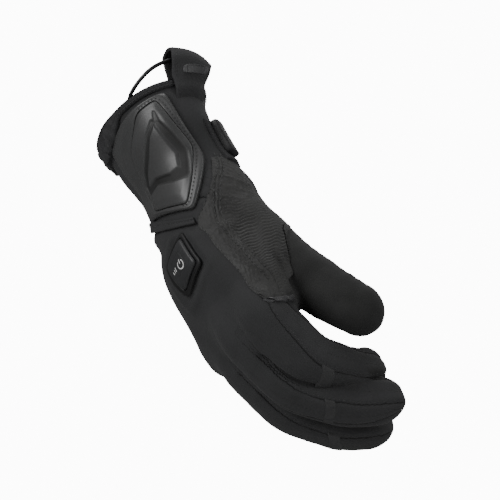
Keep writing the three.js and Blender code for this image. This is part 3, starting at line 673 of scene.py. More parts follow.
def body_places(points):
    """For each point: hand angle and share, and for each finger its length, angle and clearance."""
    around, down, reach = hand_place(points)
    hand_clear = (reach - 1) * 40 + np.maximum(0, down - 1) * HAND_LENGTH
    fingers = {name: finger_place(name, points) for name in FINGERS}
    return around, down, hand_clear, fingers


def seam_relief(away):
    """A stitched groove between two soft shoulders."""
    return -0.6 * hump(away, 0, 0.85) + 0.28 * hump(np.abs(away), 2.9, 1.5)


def hand_relief(around, down, points):
    """Folds of the hand's cloth: a soft halo round the button, a puff below the wrist band, a pleat on
    the little-finger side and slack over the palm."""
    rim = polar_share(around, down, BUTTON, BUTTON_MIDDLE, 9)
    halo = 0.75 * hump(rim, 1.34, 0.17) - 0.5 * hump(rim, 1.08, 0.09)
    below = (down - seam_down(around, 0.0)) * HAND_LENGTH
    halo = halo * ease((below - 1) / 4)
    puff = (0.8 * hump(below, 6.0, 3.5) - 0.9 * hump(below, 0.6, 1.5)) * ease((100 - np.abs(around + 100)) / 20)
    pleat = 1.2 * hump(turn_from(around, -112), 0, 9) * hump(down, 0.83, 0.05)
    palm_creases = 0
    for middle, tilt, rise in ((0.6, 0.12, -1.3), (0.69, -0.16, -1.1), (0.86, 0.05, -1.5), (0.79, 0.1, 0.7)):
        line = middle + tilt * np.sin(np.radians(around - 90)) * 0.4
        palm_creases = palm_creases + rise * hump(down, line, 0.014)
    palm_creases = palm_creases * ease((58 - np.abs(turn_from(around, 96))) / 40)
    slack = 0.38 * ripple(points, 34, 3) + 0.14 * ripple(points, 13, 4)
    stiff = ease((1.15 - polar_share(around, down, GUARD, GUARD_MIDDLE, 22)) / 0.2)
    return halo + puff + pleat + palm_creases + slack * (1 - stiff)


def finger_relief(name, along, around, points):
    """Cloth of a finger: compression creases inside each bend, stretch ridges over the knuckles and a
    little slack."""
    share = along / FINGERS[name]["length"]
    tight = 0.22 if name == "thumb" else 1.0
    inside = ease((70 - np.abs(turn_from(around, 90))) / 55)
    outside = ease((62 - np.abs(turn_from(around, -80))) / 50)
    relief = 0.22 * ripple(points, 24, 5) + 0.1 * ripple(points, 9, 6)
    for at, run in zip(BENDS["at"], BENDS["run"]):
        near = hump(share, at, run * 0.42)
        wobble = 1.2 * np.sin(np.radians(around) * 2 + at * 20)
        creases = np.sin((along + wobble) * 2 * np.pi / 6.2)
        relief = relief + tight * inside * near * (0.7 * creases - 0.4) + tight * outside * near * 0.2
    return relief


def seam_down(around, offset):
    """Share of the length of a line a little below the tilted wrist seam, at an angle round the hand."""
    down = np.full(np.shape(around), -WRIST_HEIGHT / HAND_LENGTH)
    for _ in range(4):
        width, _, _, corner = hand_size(down)
        x = width * PALM_WIDTH * signed_power(np.cos(np.radians(around)), 2 / corner)
        down = (-WRIST_HEIGHT + x * math.tan(math.radians(BAND_TILT)) - offset) / HAND_LENGTH
    return down


SLIT_STARTS = (31.0, 33.0, 36.0, 34.0)  # how far along index, middle, ring and little the cloth spans


def web_and_slit(points, around, down, clear, fingers):
    """Where the back's cloth spans two fingers, and where a slit parts them."""
    long_fingers = np.sort(clear[:, 1:5], axis=1)
    nearest = np.argmin(clear[:, 1:5], axis=1)
    along = np.stack([fingers[name][0] for name in list(FINGERS)[:4]], -1)[np.arange(len(points)), nearest]
    web = ease((np.array(SLIT_STARTS)[nearest] - along) / 3) * ease((down - 0.7) / 0.08)
    web = web * (around < 20) * ease((16 - long_fingers[:, 0]) / 6)
    slit = hump(long_fingers[:, 1] - long_fingers[:, 0], 0, 1.15) * ease((down - 0.93) / 0.05)
    return web, slit * (1 - web) * (0.4 + 0.6 * ease((74 - along) / 16))


def shape_cloth(mesh, lines):
    """Blends the fingers into the hand, deepens the slits between them and lays in seams and folds."""
    points = positions(mesh)
    edges = edges_of(mesh)
    around, down, hand_clear, fingers = body_places(points)
    clear = np.stack([hand_clear] + [fingers[name][2] for name in FINGERS], -1)
    order = np.sort(clear, axis=1)
    second = order[:, 1] - order[:, 0]
    web, between = web_and_slit(points, around, down, clear, fingers)
    between = relaxed(between[:, None], edges, np.full(len(points), 0.5), 4)[:, 0]
    joint = hump(second, 0, 5.0) * (1 - 0.55 * between)
    points = relaxed(points, edges, 0.5 * np.clip(0.25 + joint, 0, 1), 6)
    points = relaxed(points, edges, 0.6 * joint, 26)
    points = valleys_filled(mesh, points, edges, web, 150)
    place_vertices(mesh, points)
    normals = unit(relaxed(normals_of(mesh), edges, np.full(len(points), 0.5), 5))
    away, _ = seam_field(points, normals, lines)
    weights = np.exp(-np.maximum(clear - order[:, :1], 0) / 1.5)
    weights = weights / weights.sum(1, keepdims=True)
    relief = weights[:, 0] * hand_relief(around, down, points)
    for k, name in enumerate(FINGERS, 1):
        along, turned, _ = fingers[name]
        relief = relief + weights[:, k] * finger_relief(name, along, turned, points)
    relief = relief - 4.2 * between + seam_relief(away)
    points = points + normals * relief[:, None]
    points = relaxed(points, edges, 0.22 + 0.35 * between, 3)
    place_vertices(mesh, points)


def sewn_body():
    """Cuts the cloth skin and the lining off level inside the binding and joins their edges."""
    lines = all_seams()
    cloth = union_of(body_forms(0.0, 150), CLOTH_VOXEL)
    shape_cloth(cloth, lines)
    lining = union_of(body_forms(-WALL, 60), LINING_VOXEL)
    work = bmesh.new()
    for mesh, index in ((cloth, 0), (lining, 1)):
        part = bmesh.new()
        part.from_mesh(mesh)
        bmesh.ops.bisect_plane(
            part, geom=part.verts[:] + part.edges[:] + part.faces[:], dist=1e-7,
            plane_co=(0, 0, -RIM_DROP * MM), plane_no=(0, 0, 1), clear_outer=True)
        if index:
            bmesh.ops.reverse_faces(part, faces=part.faces)
        for face in part.faces:
            face.material_index = index
        cut = bpy.data.meshes.new("cut")
        part.to_mesh(cut)
        part.free()
        work.from_mesh(cut)
    open_edges = [edge for edge in work.edges if edge.is_boundary]
    bmesh.ops.bridge_loops(work, edges=open_edges)
    bmesh.ops.triangulate(work, faces=[face for face in work.faces if len(face.verts) > 4])
    body = bpy.data.meshes.new("glove_body")
    work.to_mesh(body)
    work.free()
    points, normals = positions(body), normals_of(body)
    away, run = seam_field(points, normals, lines)
    around, down, hand_clear, fingers = body_places(points)
    thumb = fingers["thumb"][2]
    others = np.minimum(hand_clear, fingers["index"][2])
    palm = ease((turn_from(around, 90) + 88) / 14) * ease((88 - turn_from(around, 90)) / 14) * ease((down - 0.46) / 0.03)
    suede = np.maximum(ease((others - thumb + 1.5) / 3.0), palm * ease((1.05 - down) / 0.1))
    for name in ("index", "middle", "ring", "little"):
        along, turned, clear = fingers[name]
        side = ease((62 - np.abs(turn_from(turned, 90))) / 6) * ease((6 - clear) / 3) * ease((along - 8) / 6)
        suede = np.maximum(suede, side)
    set_attribute(body, "seam_away", away)
    set_attribute(body, "seam_run", run)
    clear = np.stack([hand_clear] + [fingers[name][2] for name in FINGERS], -1)
    set_attribute(body, "suede", suede)
    # the slit mask, stored for painted shade in the cloth's colour between the fingers
    slit = web_and_slit(points, around, down, clear, fingers)[1]
    slit = relaxed(slit[:, None], edges_of(body), np.full(len(points), 0.5), 3)
    set_attribute(body, "slit", slit)
    return body


# Pieces laid on the body

BODY = None


def pressed(lifted):
    """The nearest points of the body to points held above it, and the directions back out."""
    flat = lifted.reshape(-1, 3)
    probe = linked("probe", mesh_from("probe", flat, []))
    wrap = probe.modifiers.new("Shrinkwrap", "SHRINKWRAP")
    wrap.target = BODY
    wrap.wrap_method = "NEAREST_SURFACEPOINT"
    found = positions(applied(probe))
    return found.reshape(lifted.shape), unit(flat - found).reshape(lifted.shape)


def smoothed(grid, rounds, wrap=False):
    """Grid values averaged with their neighbours, the edges kept."""
    for _ in range(rounds):
        padded = np.pad(grid, [(1, 1), (0, 0), (0, 0)], mode="edge")
        down_mean = (padded[:-2] + padded[2:] + 2 * grid) / 4
        if wrap:
            grid = (np.roll(down_mean, 1, 1) + np.roll(down_mean, -1, 1) + 2 * down_mean) / 4
        else:
            padded = np.pad(down_mean, [(0, 0), (1, 1), (0, 0)], mode="edge")
            grid = (padded[:, :-2] + padded[:, 2:] + 2 * down_mean) / 4
    return grid


def laid_sheet(name, lifted, height, sink=0.5, soften=2, wrap=False):
    """A closed sheet on the body: its top stands off by height along the way out, its bottom is sunk."""
    base, out = pressed(lifted)
    base, out = smoothed(base, soften // 2, wrap), unit(smoothed(out, soften, wrap))
    return closed_sheet(name, base + out * height[..., None], base - out * sink, wrap)


def plate_grid(middle, inner, outer, sides, rings, spacing=1.0):
    """Angle round the hand and share of its length on rings between two outlines about a middle."""
    angle = np.arange(sides) * 2 * np.pi / sides
    v = np.linspace(0, 1, rings)[:, None] ** spacing
    low, high = inner(angle)[None], outer(angle)[None]
    reach = low + (high - low) * v
    around = middle[0] + reach * np.cos(angle)
    down = (middle[1] + reach * np.sin(angle)) / 100
    return around, down, np.broadcast_to(v, around.shape), reach / high


def guard_outer(angle):
    return outline_reach(GUARD, GUARD_MIDDLE, 22, angle)


def pad_outer(angle):
    return outline_reach(PAD, GUARD_MIDDLE, 22, angle)


def edge_round(t, width):
    """Quarter-round rise from 0 at an edge to 1 at a width in from it."""
    x = np.clip(t / width, 0, 1)
    return np.sqrt(1 - (1 - x) ** 2)


GUARD_SPLIT = 0.3


def make_guard_frame():
    around, down, v, _ = plate_grid(
        GUARD_MIDDLE, lambda a: pad_outer(a) + GUARD_SPLIT, guard_outer, 360, 26)
    height = 0.7 + 1.7 * edge_round(1 - v, 0.42) * (0.82 + 0.18 * edge_round(v, 0.07))
    far_side = ease((GUARD_MIDDLE[0] - around) / 25)
    height = height + (0.2 + 0.55 * far_side) * hump(v, 0.62 - 0.2 * far_side, 0.2)
    top = hand_point(around, down, GAP + height)
    return closed_sheet("guard_frame", top, hand_point(around, down, -0.6), wrap=True)


def recess_share(around, down, rows):
    """1 in the middle of a recess, easing to 0 at its half width, times its depth."""
    to_mm = 0.72
    x, y = around * to_mm, down * HAND_LENGTH
    px, py = rows["around"] * to_mm, rows["down"] * HAND_LENGTH
    deepest = np.zeros(np.shape(around))
    for i in range(len(px) - 1):
        dx, dy = px[i + 1] - px[i], py[i + 1] - py[i]
        t = np.clip(((x - px[i]) * dx + (y - py[i]) * dy) / (dx * dx + dy * dy), 0, 1)
        distance = np.hypot(x - px[i] - t * dx, y - py[i] - t * dy)
        half = rows["half"][i] + (rows["half"][i + 1] - rows["half"][i]) * t
        deep = rows["deep"][i] + (rows["deep"][i + 1] - rows["deep"][i]) * t
        deepest = np.maximum(deepest, 1.1 * deep * ease((half * 1.2 - distance) / (half * 0.75)))
    return deepest


def make_guard_pad():
    around, down, v, share = plate_grid(GUARD_MIDDLE, lambda a: 0 * a, pad_outer, 320, 90, 0.8)
    recess = np.maximum(recess_share(around, down, RECESS_RIGHT), recess_share(around, down, RECESS_LEFT))
    crown = 1.9 + 0.7 * edge_round(1 - share, 0.05) + 0.8 * ease((1 - share) / 0.2) + 0.2 * (1 - share ** 2)
    height = crown - 0.9 * recess
    top = hand_point(around, down, GAP + height)
    mesh = closed_sheet("guard_pad", top, hand_point(around, down, -0.5), wrap=True)
    points = positions(mesh)
    turned, lowered, _ = hand_place(points)
    mask = np.maximum(recess_share(turned, lowered, RECESS_RIGHT), recess_share(turned, lowered, RECESS_LEFT))
    # the recess mask gives the cover painted shade and a duller finish there
    set_attribute(mesh, "recess", np.clip(mask, 0, 1))
    return mesh


def bezel_outer(angle):
    return outline_reach(BUTTON, BUTTON_MIDDLE, 9, angle)


def make_button_bezel():
    around, down, v, _ = plate_grid(
        BUTTON_MIDDLE, lambda a: bezel_outer(a) * BUTTON_SHARE + 0.45, bezel_outer, 240, 14)
    height = 0.2 + 1.0 * edge_round(1 - v, 0.45) * (0.6 + 0.4 * edge_round(v, 0.3))
    return closed_sheet("button_bezel", hand_point(around, down, GAP + height),
                        hand_point(around, down, -0.8), wrap=True)


def cap_height(share):
    """A flat raised face with a rounded shoulder and a faint groove round its middle."""
    return 0.9 + 1.55 * edge_round(1 - share, 0.16) + 0.1 * (1 - share) - 0.16 * hump(share, 0.5, 0.035)


def make_button_cap():
    around, down, v, share = plate_grid(
        BUTTON_MIDDLE, lambda a: 0 * a, lambda a: bezel_outer(a) * BUTTON_SHARE, 240, 60, 0.75)
    return closed_sheet("power_button", hand_point(around, down, GAP + cap_height(share)),
                        hand_point(around, down, -0.8), wrap=True)


SYMBOL_RADIUS = 2.5
SYMBOL_STROKE = 0.62


def cap_place(x, y):
    """A point of the button's face, x and y millimetres from its middle along and across its tilt."""
    around = -70.0 + x * 1.36
    down = 0.657 - y / HAND_LENGTH
    share = polar_share(around, down, BUTTON, BUTTON_MIDDLE, 9) / BUTTON_SHARE
    return around, down, cap_height(np.clip(share, 0, 1))


def symbol_strip(name, x, y):
    """A thin raised strip over a grid of places on the button's face."""
    around, down, height = cap_place(x, y)
    return closed_sheet(name, hand_point(around, down, GAP + height + 0.1),
                        hand_point(around, down, GAP + height - 0.25))


def make_symbols():
    """A ring open at the top with a bar in the opening, and three level bars beside it."""
    angle = np.radians(np.linspace(125, 415, 60))[:, None]
    radius = np.linspace(SYMBOL_RADIUS - SYMBOL_STROKE / 2, SYMBOL_RADIUS + SYMBOL_STROKE / 2, 4)[None]
    strips = [symbol_strip("ring", radius * np.cos(angle), radius * np.sin(angle))]
    across = np.linspace(-SYMBOL_STROKE / 2, SYMBOL_STROKE / 2, 3)[None]
    tall = np.linspace(0.5, 3.1, 8)[:, None]
    strips.append(symbol_strip("bar", across + 0 * tall, tall + 0 * across))
    for i in range(3):
        tall = np.linspace(-1.4, 0.2 + 0.6 * i, 6)[:, None]
        strips.append(symbol_strip("level", 0.8 * across - 8.6 + 1.55 * i + 0 * tall, tall + 0 * across))
    return joined("button_symbols", strips)


def joined(name, meshes):
    work = bmesh.new()
    for mesh in meshes:
        work.from_mesh(mesh)
    result = bpy.data.meshes.new(name)
    work.to_mesh(result)
    work.free()
    return result


def make_side_panel():
    """Textured panel between thumb and index finger: fine wavy ribs right of the double line, a mottled
    field left of it."""
    rows, columns = 380, 72
    down = np.linspace(PANEL["down"][0], PANEL["down"][-1], rows)[:, None]
    u = np.linspace(0, 1, columns)[None]
    left, right = curve(PANEL["down"], PANEL["left"], down), curve(PANEL["down"], PANEL["right"], down)
    around = left + (right - left) * u
    down = np.broadcast_to(down, around.shape)
    lifted = hand_point(around, down, 5.0)
    line = curve(DOUBLE_LINE["down"], DOUBLE_LINE["around"], down)
    past = (around - line) * 0.75
    run = down * HAND_LENGTH
    wave = run + 1.3 * np.sin(around * 0.16 + run * 0.05) + 0.5 * np.sin(around * 0.5 + run * 0.21)
    ribs = np.abs(np.sin(wave * np.pi / 1.9)) ** 0.8
    ribbed = ease((past - 1.2) / 1.5) * ease((down - 0.5) / 0.08)
    strong = 0.35 + 0.65 * hump(down, 0.74, 0.1)
    mottle = ripple(lifted.reshape(-1, 3), 3.2, 11).reshape(around.shape)
    edge = np.minimum(u, 1 - u) * (right - left) * 0.75
    rise = edge_round(edge, 1.0) * ease((down - PANEL["down"][0]) / 0.03)
    height = -0.45 + 1.05 * rise
    height = height + 0.42 * ribs * ribbed * strong * ease(edge / 2) + 0.08 * mottle * (1 - ribbed)
    for offset in (-1.5, 1.5):
        height = height - 0.28 * hump(past, offset, 0.5)
    height = height + 0.16 * hump(past, 0, 0.9)
    return laid_sheet("side_panel", lifted, height, sink=0.8, soften=8)


def make_side_hem():
    rows, columns = 16, 90
    down = (0.955 + 3.0 / HAND_LENGTH * np.linspace(0, 1, rows))[:, None]
    around = np.linspace(PANEL["left"][-1] - 2, PANEL["right"][-1] + 4, columns)[None]
    around, down = np.broadcast_arrays(around, down)
    v = np.linspace(0, 1, rows)[:, None]
    u = np.linspace(0, 1, columns)[None]
    height = 0.2 + 1.1 * edge_round(np.minimum(v, 1 - v), 0.4) * edge_round(np.minimum(u, 1 - u), 0.04)
    return laid_sheet("side_hem", hand_point(around, down, 5.0), height, soften=8)


def wrist_band_down(around, v):
    """Share of the hand's length at a place across the band, 0 on its upper edge: it narrows towards
    the thumb side."""
    width = curve(np.array([-180.0, -94, -61, -40]), np.array([6.8, 6.6, 4.8, 3.8]), around)
    return seam_down(around, GAP - 0.6 + width * (1 - v))


def make_wrist_band():
    """Folded band over the wrist seam: a raised upper lip, a stitched line and a rolled lower edge."""
    rows, columns = 24, 260
    around = np.linspace(-178, -42, columns)[None]
    v = np.linspace(0, 1, rows)[:, None]
    around, v = np.broadcast_arrays(around, v)
    down = wrist_band_down(around, v)
    height = 0.75 + 0.65 * edge_round(np.minimum(v, 1 - v), 0.16) - 0.3 * hump(v, 0.42, 0.07)
    height = height + 0.15 * hump(v, 0.8, 0.12)
    height = height + 0.05 * np.sin(np.radians(around) * 92) * hump(v, 0.42, 0.2)
    return closed_sheet("wrist_band", hand_point(around, down, height), hand_point(around, down, -1.0))


def make_flex_band(name):
    """Flat ribbed band over a finger's back, thinned where it runs into the side seams."""
    at, slant, start, end = FLEX_BANDS[name]
    rows, columns = 20, 90
    around = np.linspace(start, end, columns)[None]
    v = np.linspace(0, 1, rows)[:, None]
    along = (at - slant * (around + 75) / 100) * FINGERS[name]["length"] + FLEX_BAND_WIDTH * (v - 0.5)
    around = np.broadcast_to(around, along.shape)
    u = np.linspace(0, 1, columns)[None]
    height = -0.8 + 0.85 * edge_round(np.minimum(u, 1 - u), 0.14)
    height = height + 0.45 * edge_round(np.minimum(v, 1 - v), 0.16) - 0.08 * hump(np.minimum(v, 1 - v), 0.24, 0.05)
    top = finger_point(name, along, around, 0)
    out = unit(finger_point(name, along, around, 1.0) - top)
    return closed_sheet(name + "_flex_band", top + out * height[..., None], top - out * 1.4)


def strap_grid(start, end, down, width, rows, columns):
    around = np.linspace(start, end, columns)[None]
    v = np.linspace(0, 1, rows)[:, None]
    place = down + (v - 0.5) * width / HAND_LENGTH
    around, place = np.broadcast_arrays(around, place)
    return around, place, np.broadcast_to(v, around.shape), np.linspace(0, 1, columns)[None]


def make_wrist_strap():
    """Webbing strap over the palm side: a ribbed weave with two raised edges."""
    around, down, v, u = strap_grid(24, 166, 0.255, 24.0, 60, 220)
    side = np.minimum(v, 1 - v)
    height = 1.0 + 0.9 * edge_round(side, 0.06) + 0.12 * hump(side, 0.09, 0.03)
    height = height + 0.1 * np.cos(v * 2 * np.pi * 10) * ease((side - 0.12) / 0.05)
    height = height * (0.55 + 0.45 * edge_round(np.minimum(u, 1 - u), 0.02))
    return laid_sheet("wrist_strap", hand_point(around, down, 6.0), height, soften=6)


def rounded_plate(lift_of, corner, sides=160, rings=26):
    """Polar grid of a rectangle with rounded corners, in shares -1 to 1, with its share of the way out."""
    angle = (np.arange(sides) * 2 * np.pi / sides)[None]
    share = (np.linspace(0, 1, rings) ** 0.7)[:, None]
    reach = (np.abs(np.cos(angle)) ** corner + np.abs(np.sin(angle)) ** corner) ** (-1 / corner)
    return lift_of(share * reach * np.cos(angle), share * reach * np.sin(angle), share + 0 * angle)


def make_strap_tab():
    """The strap's doubled end: a stiff rounded plate that stands proud of the cuff."""
    def place(x, y, share):
        around = 41.5 + 11.8 * x
        down = 0.247 + 10.4 * y / HAND_LENGTH
        height = 3.2 + 2.6 * edge_round(1 - share, 0.12) - 0.35 * hump(share, 0.8, 0.04)
        return closed_sheet("strap_tab", hand_point(around, down, height),
                            hand_point(around, down, 1.2), wrap=True)
    return rounded_plate(place, 7)


def make_rim_binding():
    """Folded tape over the cuff's edge, swept round the opening. On the little-finger side it widens
    into a gathered casing."""
    columns = 480
    around = (np.arange(columns) * 360 / columns)[:, None]
    turned = turn_from(around, 0)
    gathered = ease((-60 - turned) / 28) * ease((turned + 185) / 30) + ease((turned - 168) / 12)
    gathered = np.clip(gathered, 0, 1)
    wide = 4.0 + 6.6 * gathered
    t = np.linspace(0, 1, 15)[None]
    outside = GAP + 0.15 + 1.9 * gathered
    bulge = np.sin(np.pi * t) ** 0.5
    out_up = np.concatenate([
        np.stack([outside + 1.25 * bulge + 0 * wide, -wide * (1 - t)], -1),
        np.stack([(outside + 0.9) * (1 - t) + (-WALL - outside - 0.9) * t + 0 * wide, 0.45 * bulge + 0 * wide], -1),
        np.stack([-WALL - outside - 1.15 * bulge + 0 * wide, -4.2 * t + 0 * wide], -1),
        np.stack([-WALL + 0.9 + 0 * (t + wide), -4.2 + 1.9 * t + 0 * wide], -1)[:, :8],
        np.stack([-0.6 + 0 * (t + wide), -2.3 - (wide - 2.3) * t], -1)[:, 7:],
    ], 1)
    out, up = out_up[..., 0], out_up[..., 1]
    outer_side = ease((out + 0.4) / 0.8)
    pucker = 0.6 * np.sin(np.radians(turned) * 27 + 1.6 * np.sin(np.radians(turned) * 5 - up * 0.12))
    pucker = pucker + 0.35 * np.sin(np.radians(turned) * 44 + up * 0.35)
    for angle, depth in ((-72, 2.0), (-79, 5.0), (-88, 1.0), (-94, 4.5), (-104, 6.5), (-113, 1.5), (-124, 5.0)):
        pucker = pucker - 1.5 * hump(turned, angle, 2.4) * hump(-up, depth, 2.4)
    pleats = gathered * outer_side * pucker * ease((-up - 0.3) / 1.5)
    fine = 0.1 * np.sin(np.radians(turned) * 90) * outer_side
    stitched = -0.35 * hump(up, -0.62 * wide, 0.45) * outer_side
    points = hand_point(np.broadcast_to(around, out.shape), np.maximum(0, -up / HAND_LENGTH),
                        out + pleats + fine + stitched)
    points[..., 2] = up
    return swept("rim_binding", points, closed=True)


LEAF_OUT = GAP + SEAM_LIFT + BINDING_THICKNESS + GAP + PULL_TAB_THICKNESS / 2
LEAF_IN = -WALL - LEAF_OUT
OPENING_ARC = (PALM_WIDTH * HAND["width"][0] + PALM_DEPTH * HAND["depth"][0]) / 2


def tab_point(along, across, off):
    """A point of the pull tab's loop: a share along its path, -1 to 1 across, and off its middle face."""
    def flat(t):
        out, up = along_rows(TAB_PATH, ("out", "up"), t)
        up = up * PULL_TAB_HEIGHT
        sunk = 4.0 * ease((-up - 5.5) / 9.0) * (t < 0.5)
        return np.stack([LEAF_IN + (LEAF_OUT - LEAF_IN) * out - sunk, up], -1)

    along, across, off = np.broadcast_arrays(along, across, off)
    here = flat(along)
    ahead = unit(flat(np.minimum(1, along + 0.01)) - flat(np.maximum(0, along - 0.01)))
    out = here[..., 0] + ahead[..., 1] * off
    up = here[..., 1] - ahead[..., 0] * off
    width, = along_rows(TAB_PATH, ("width",), along)
    half_angle = np.degrees(width * PULL_TAB_WIDTH / 2 / OPENING_ARC)
    lean, far = ease(up / 16), np.clip((1 + across) / 2, 0, 1)
    flare = ease((up + 4) / 8) * (1 - 0.4 * ease((up - 5) / 10)) * ease((22 - up) / 5)
    out = out + TAB_FLARE * far ** 1.5 * flare
    waist = 0.2 * far * hump(up, -7, 5)
    around = TAB_AROUND + half_angle * across * (1 - waist) + TAB_LEAN * lean
    points = hand_point(around, np.maximum(0, -up / HAND_LENGTH), out)
    points[..., 2] = up - TAB_DROOP * far * lean
    return points


def make_pull_tab():
    along = np.linspace(0, 1, 190)[:, None]
    across = (np.linspace(-1, 1, 46))[None]
    half = PULL_TAB_THICKNESS / 2 * (0.4 + 0.65 * edge_round(1 - np.abs(across), 0.09))
    half = half - 0.12 * hump(np.abs(across), 0.84, 0.03) + 0 * along
    wave = 0.25 * np.sin(along * 26) * np.abs(across) ** 3
    return closed_sheet("pull_tab", tab_point(along, across, half + wave), tab_point(along, across, -half + wave))


def make_tab_badge():
    """Blank moulded plate on the tab: a raised border round a flat field."""
    def place(x, y, share):
        across = 0.1 + x * BADGE_LENGTH / PULL_TAB_WIDTH
        along = 0.2 + y * BADGE_WIDTH / 2 / (4.6 * PULL_TAB_HEIGHT)
        height = 0.15 + 0.65 * edge_round(1 - share, 0.1) - 0.3 * ease((0.8 - share) / 0.08)
        return closed_sheet("tab_badge", tab_point(along, across, PULL_TAB_THICKNESS / 2 + height),
                            tab_point(along, across, PULL_TAB_THICKNESS / 2 - 0.3 + 0 * height), wrap=True)
    return rounded_plate(place, 5)


def carried_ring(line, radius, sides, twist=0.0):
    """A round section carried along a line, kept from twisting by projecting each side direction on."""
    ahead = unit(np.gradient(line, axis=0))
    side = unit(np.cross(ahead, [0.3, 0.2, 1.0]))
    other = np.cross(ahead, side)
    angle = np.arange(sides) * 2 * np.pi / sides + np.asarray(twist)[..., None]
    return (line[:, None] + radius[..., None] * (np.cos(angle)[..., None] * side[:, None]
            + np.sin(angle)[..., None] * other[:, None]))


def cord_line(steps):
    """Smooth curve through the cord's chosen points: cubic pieces by centripetal spacing."""
    around, out, up = (CORD_POINTS[name] for name in ("around", "out", "up"))
    places = hand_point(around, np.maximum(0, -up / HAND_LENGTH), out)
    places[:, 2] = up
    spacing = np.linalg.norm(np.diff(places, axis=0), axis=1)
    keys = np.concatenate([[0], np.cumsum(spacing)])
    tangents = np.gradient(places, keys, axis=0)
    at = np.linspace(0, keys[-1], steps)
    i = np.clip(np.searchsorted(keys, at) - 1, 0, len(keys) - 2)
    step = (keys[i + 1] - keys[i])[:, None]
    t = ((at - keys[i]) / step[:, 0])[:, None]
    return (places[i] * (1 + 2 * t) * (1 - t) ** 2 + tangents[i] * step * t * (1 - t) ** 2
            + places[i + 1] * (3 - 2 * t) * t * t - tangents[i + 1] * step * t * t * (1 - t))


def make_cord():
    """Braided elastic cord: a round section with a fine twisted ridge."""
    line = cord_line(420)
    sides = 20
    angle = np.arange(sides) * 2 * np.pi / sides
    run = np.linspace(0, 1, len(line))[:, None]
    radius = CORD_DIAMETER / 2 - 0.02 + 0.02 * np.cos(angle[None] * 5 + run * 420)
    return swept("leash_cord", carried_ring(line, radius, sides, np.zeros((len(line),))))


def stitches(name, line, out, pitch, length, thick, lift=0.0):
    """A row of short thread humps along a line, each a small spindle bowed out of the surface."""
    reach = np.concatenate([[0], np.cumsum(np.linalg.norm(np.diff(line, axis=0), axis=1))])
    middles = np.arange(pitch / 2, reach[-1], pitch)
    centre = np.stack([np.interp(middles, reach, line[:, k]) for k in range(3)], -1)
    normal = unit(np.stack([np.interp(middles, reach, out[:, k]) for k in range(3)], -1))
    tangent = np.gradient(line, axis=0)
    ahead = unit(np.stack([np.interp(middles, reach, tangent[:, k]) for k in range(3)], -1))
    side = unit(np.cross(normal, ahead))
    t = np.linspace(-1, 1, 6)[:, None]
    angle = (np.arange(6) * np.pi / 3)[None]
    radius = thick / 2 * np.sqrt(np.clip(1.02 - t * t, 0.02, 1))
    local = np.stack([t * length / 2 + 0 * angle, radius * np.cos(angle),
                      radius * np.sin(angle) + thick * 0.45 * (1 - t * t) - 0.3 * thick + lift], -1)
    axes = np.stack([ahead, side, normal], 1)
    points = centre[:, None, None] + np.einsum("rak,nkj->nraj", local, axes)
    count = 36
    faces = grid_quads(6, 6, True)
    caps = [list(range(6))[::-1], list(range(30, 36))]
    quads = (faces[None] + np.arange(len(middles))[:, None, None] * count).reshape(-1, 4).tolist()
    for i in range(len(middles)):
        quads += [[corner + i * count for corner in cap] for cap in caps]
    return mesh_from(name, points.reshape(-1, 3), quads)


def body_stitches(name, tube, places, pitch=2.6, length=1.9, thick=0.42, aside=0.0, lift=0.0):
    """Stitches along a line pressed onto the body, or beside it by a distance."""
    lifted = route(tube, places, 3.0)
    line, out = pressed(lifted)
    if aside:
        ahead = unit(np.gradient(line, axis=0))
        line, out = pressed(line + unit(np.cross(out, ahead)) * aside + out * 3.0)
    return stitches(name, line + out * lift, out, pitch, length, thick)


def ring_line(inner, outer, middle, share, start, end, lift, sides=260):
    """A line between two outlines round a middle, from one direction to another, with its way out."""
    angle = np.radians(np.linspace(start, end, sides))
    reach = inner(angle) + (outer(angle) - inner(angle)) * share
    around, down = middle[0] + reach * np.cos(angle), (middle[1] + reach * np.sin(angle)) / 100
    low, high = hand_point(around, down, lift), hand_point(around, down, lift + 1)
    return low, unit(high - low)


def make_cover_stitches():
    """Two dotted rows: one round the cover's frame and a shorter one on its thumb side."""
    rows = []
    for share, start, end, lift in ((0.84, -179, 179, GAP + 2.05), (0.3, -62, 80, GAP + 2.7)):
        line, out = ring_line(pad_outer, guard_outer, GUARD_MIDDLE, share, start, end, lift)
        rows.append(stitches("row", line, out, 2.3, 1.3, 0.42))
    return joined("cover_stitching", rows)


def make_tape_stitches():
    """Rows on the edge binding, the wrist band, the strap, its end and the pull loop."""
    rows = []
    around = np.linspace(-180, 180, 500)
    for depth in (1.0, 3.0):
        low = hand_point(around, depth / HAND_LENGTH + 0 * around, GAP + 1.4)
        high = hand_point(around, depth / HAND_LENGTH + 0 * around, GAP + 2.4)
        rows.append(stitches("row", low, unit(high - low), 2.4, 1.7, 0.4))
    around = np.linspace(-176, -44, 300)
    low, high = (hand_point(around, wrist_band_down(around, 0.42), lift) for lift in (1.15, 2.15))
    rows.append(stitches("row", low, unit(high - low), 2.5, 1.8, 0.42))
    around = np.linspace(28, 164, 300)
    for side in (-1, 1):
        line, out = pressed(hand_point(around, 0.255 + side * 10.2 / HAND_LENGTH + 0 * around, 6.0))
        rows.append(stitches("row", line + out * 1.95, out, 2.6, 1.9, 0.42))
    along = np.linspace(0.14, 0.5, 160)
    for side in (-0.84, 0.84):
        low, high = tab_point(along, side, 1.0), tab_point(along, side, 2.0)
        rows.append(stitches("row", low, unit(high - low), 2.3, 1.6, 0.38))
    return joined("tape_stitching", rows)


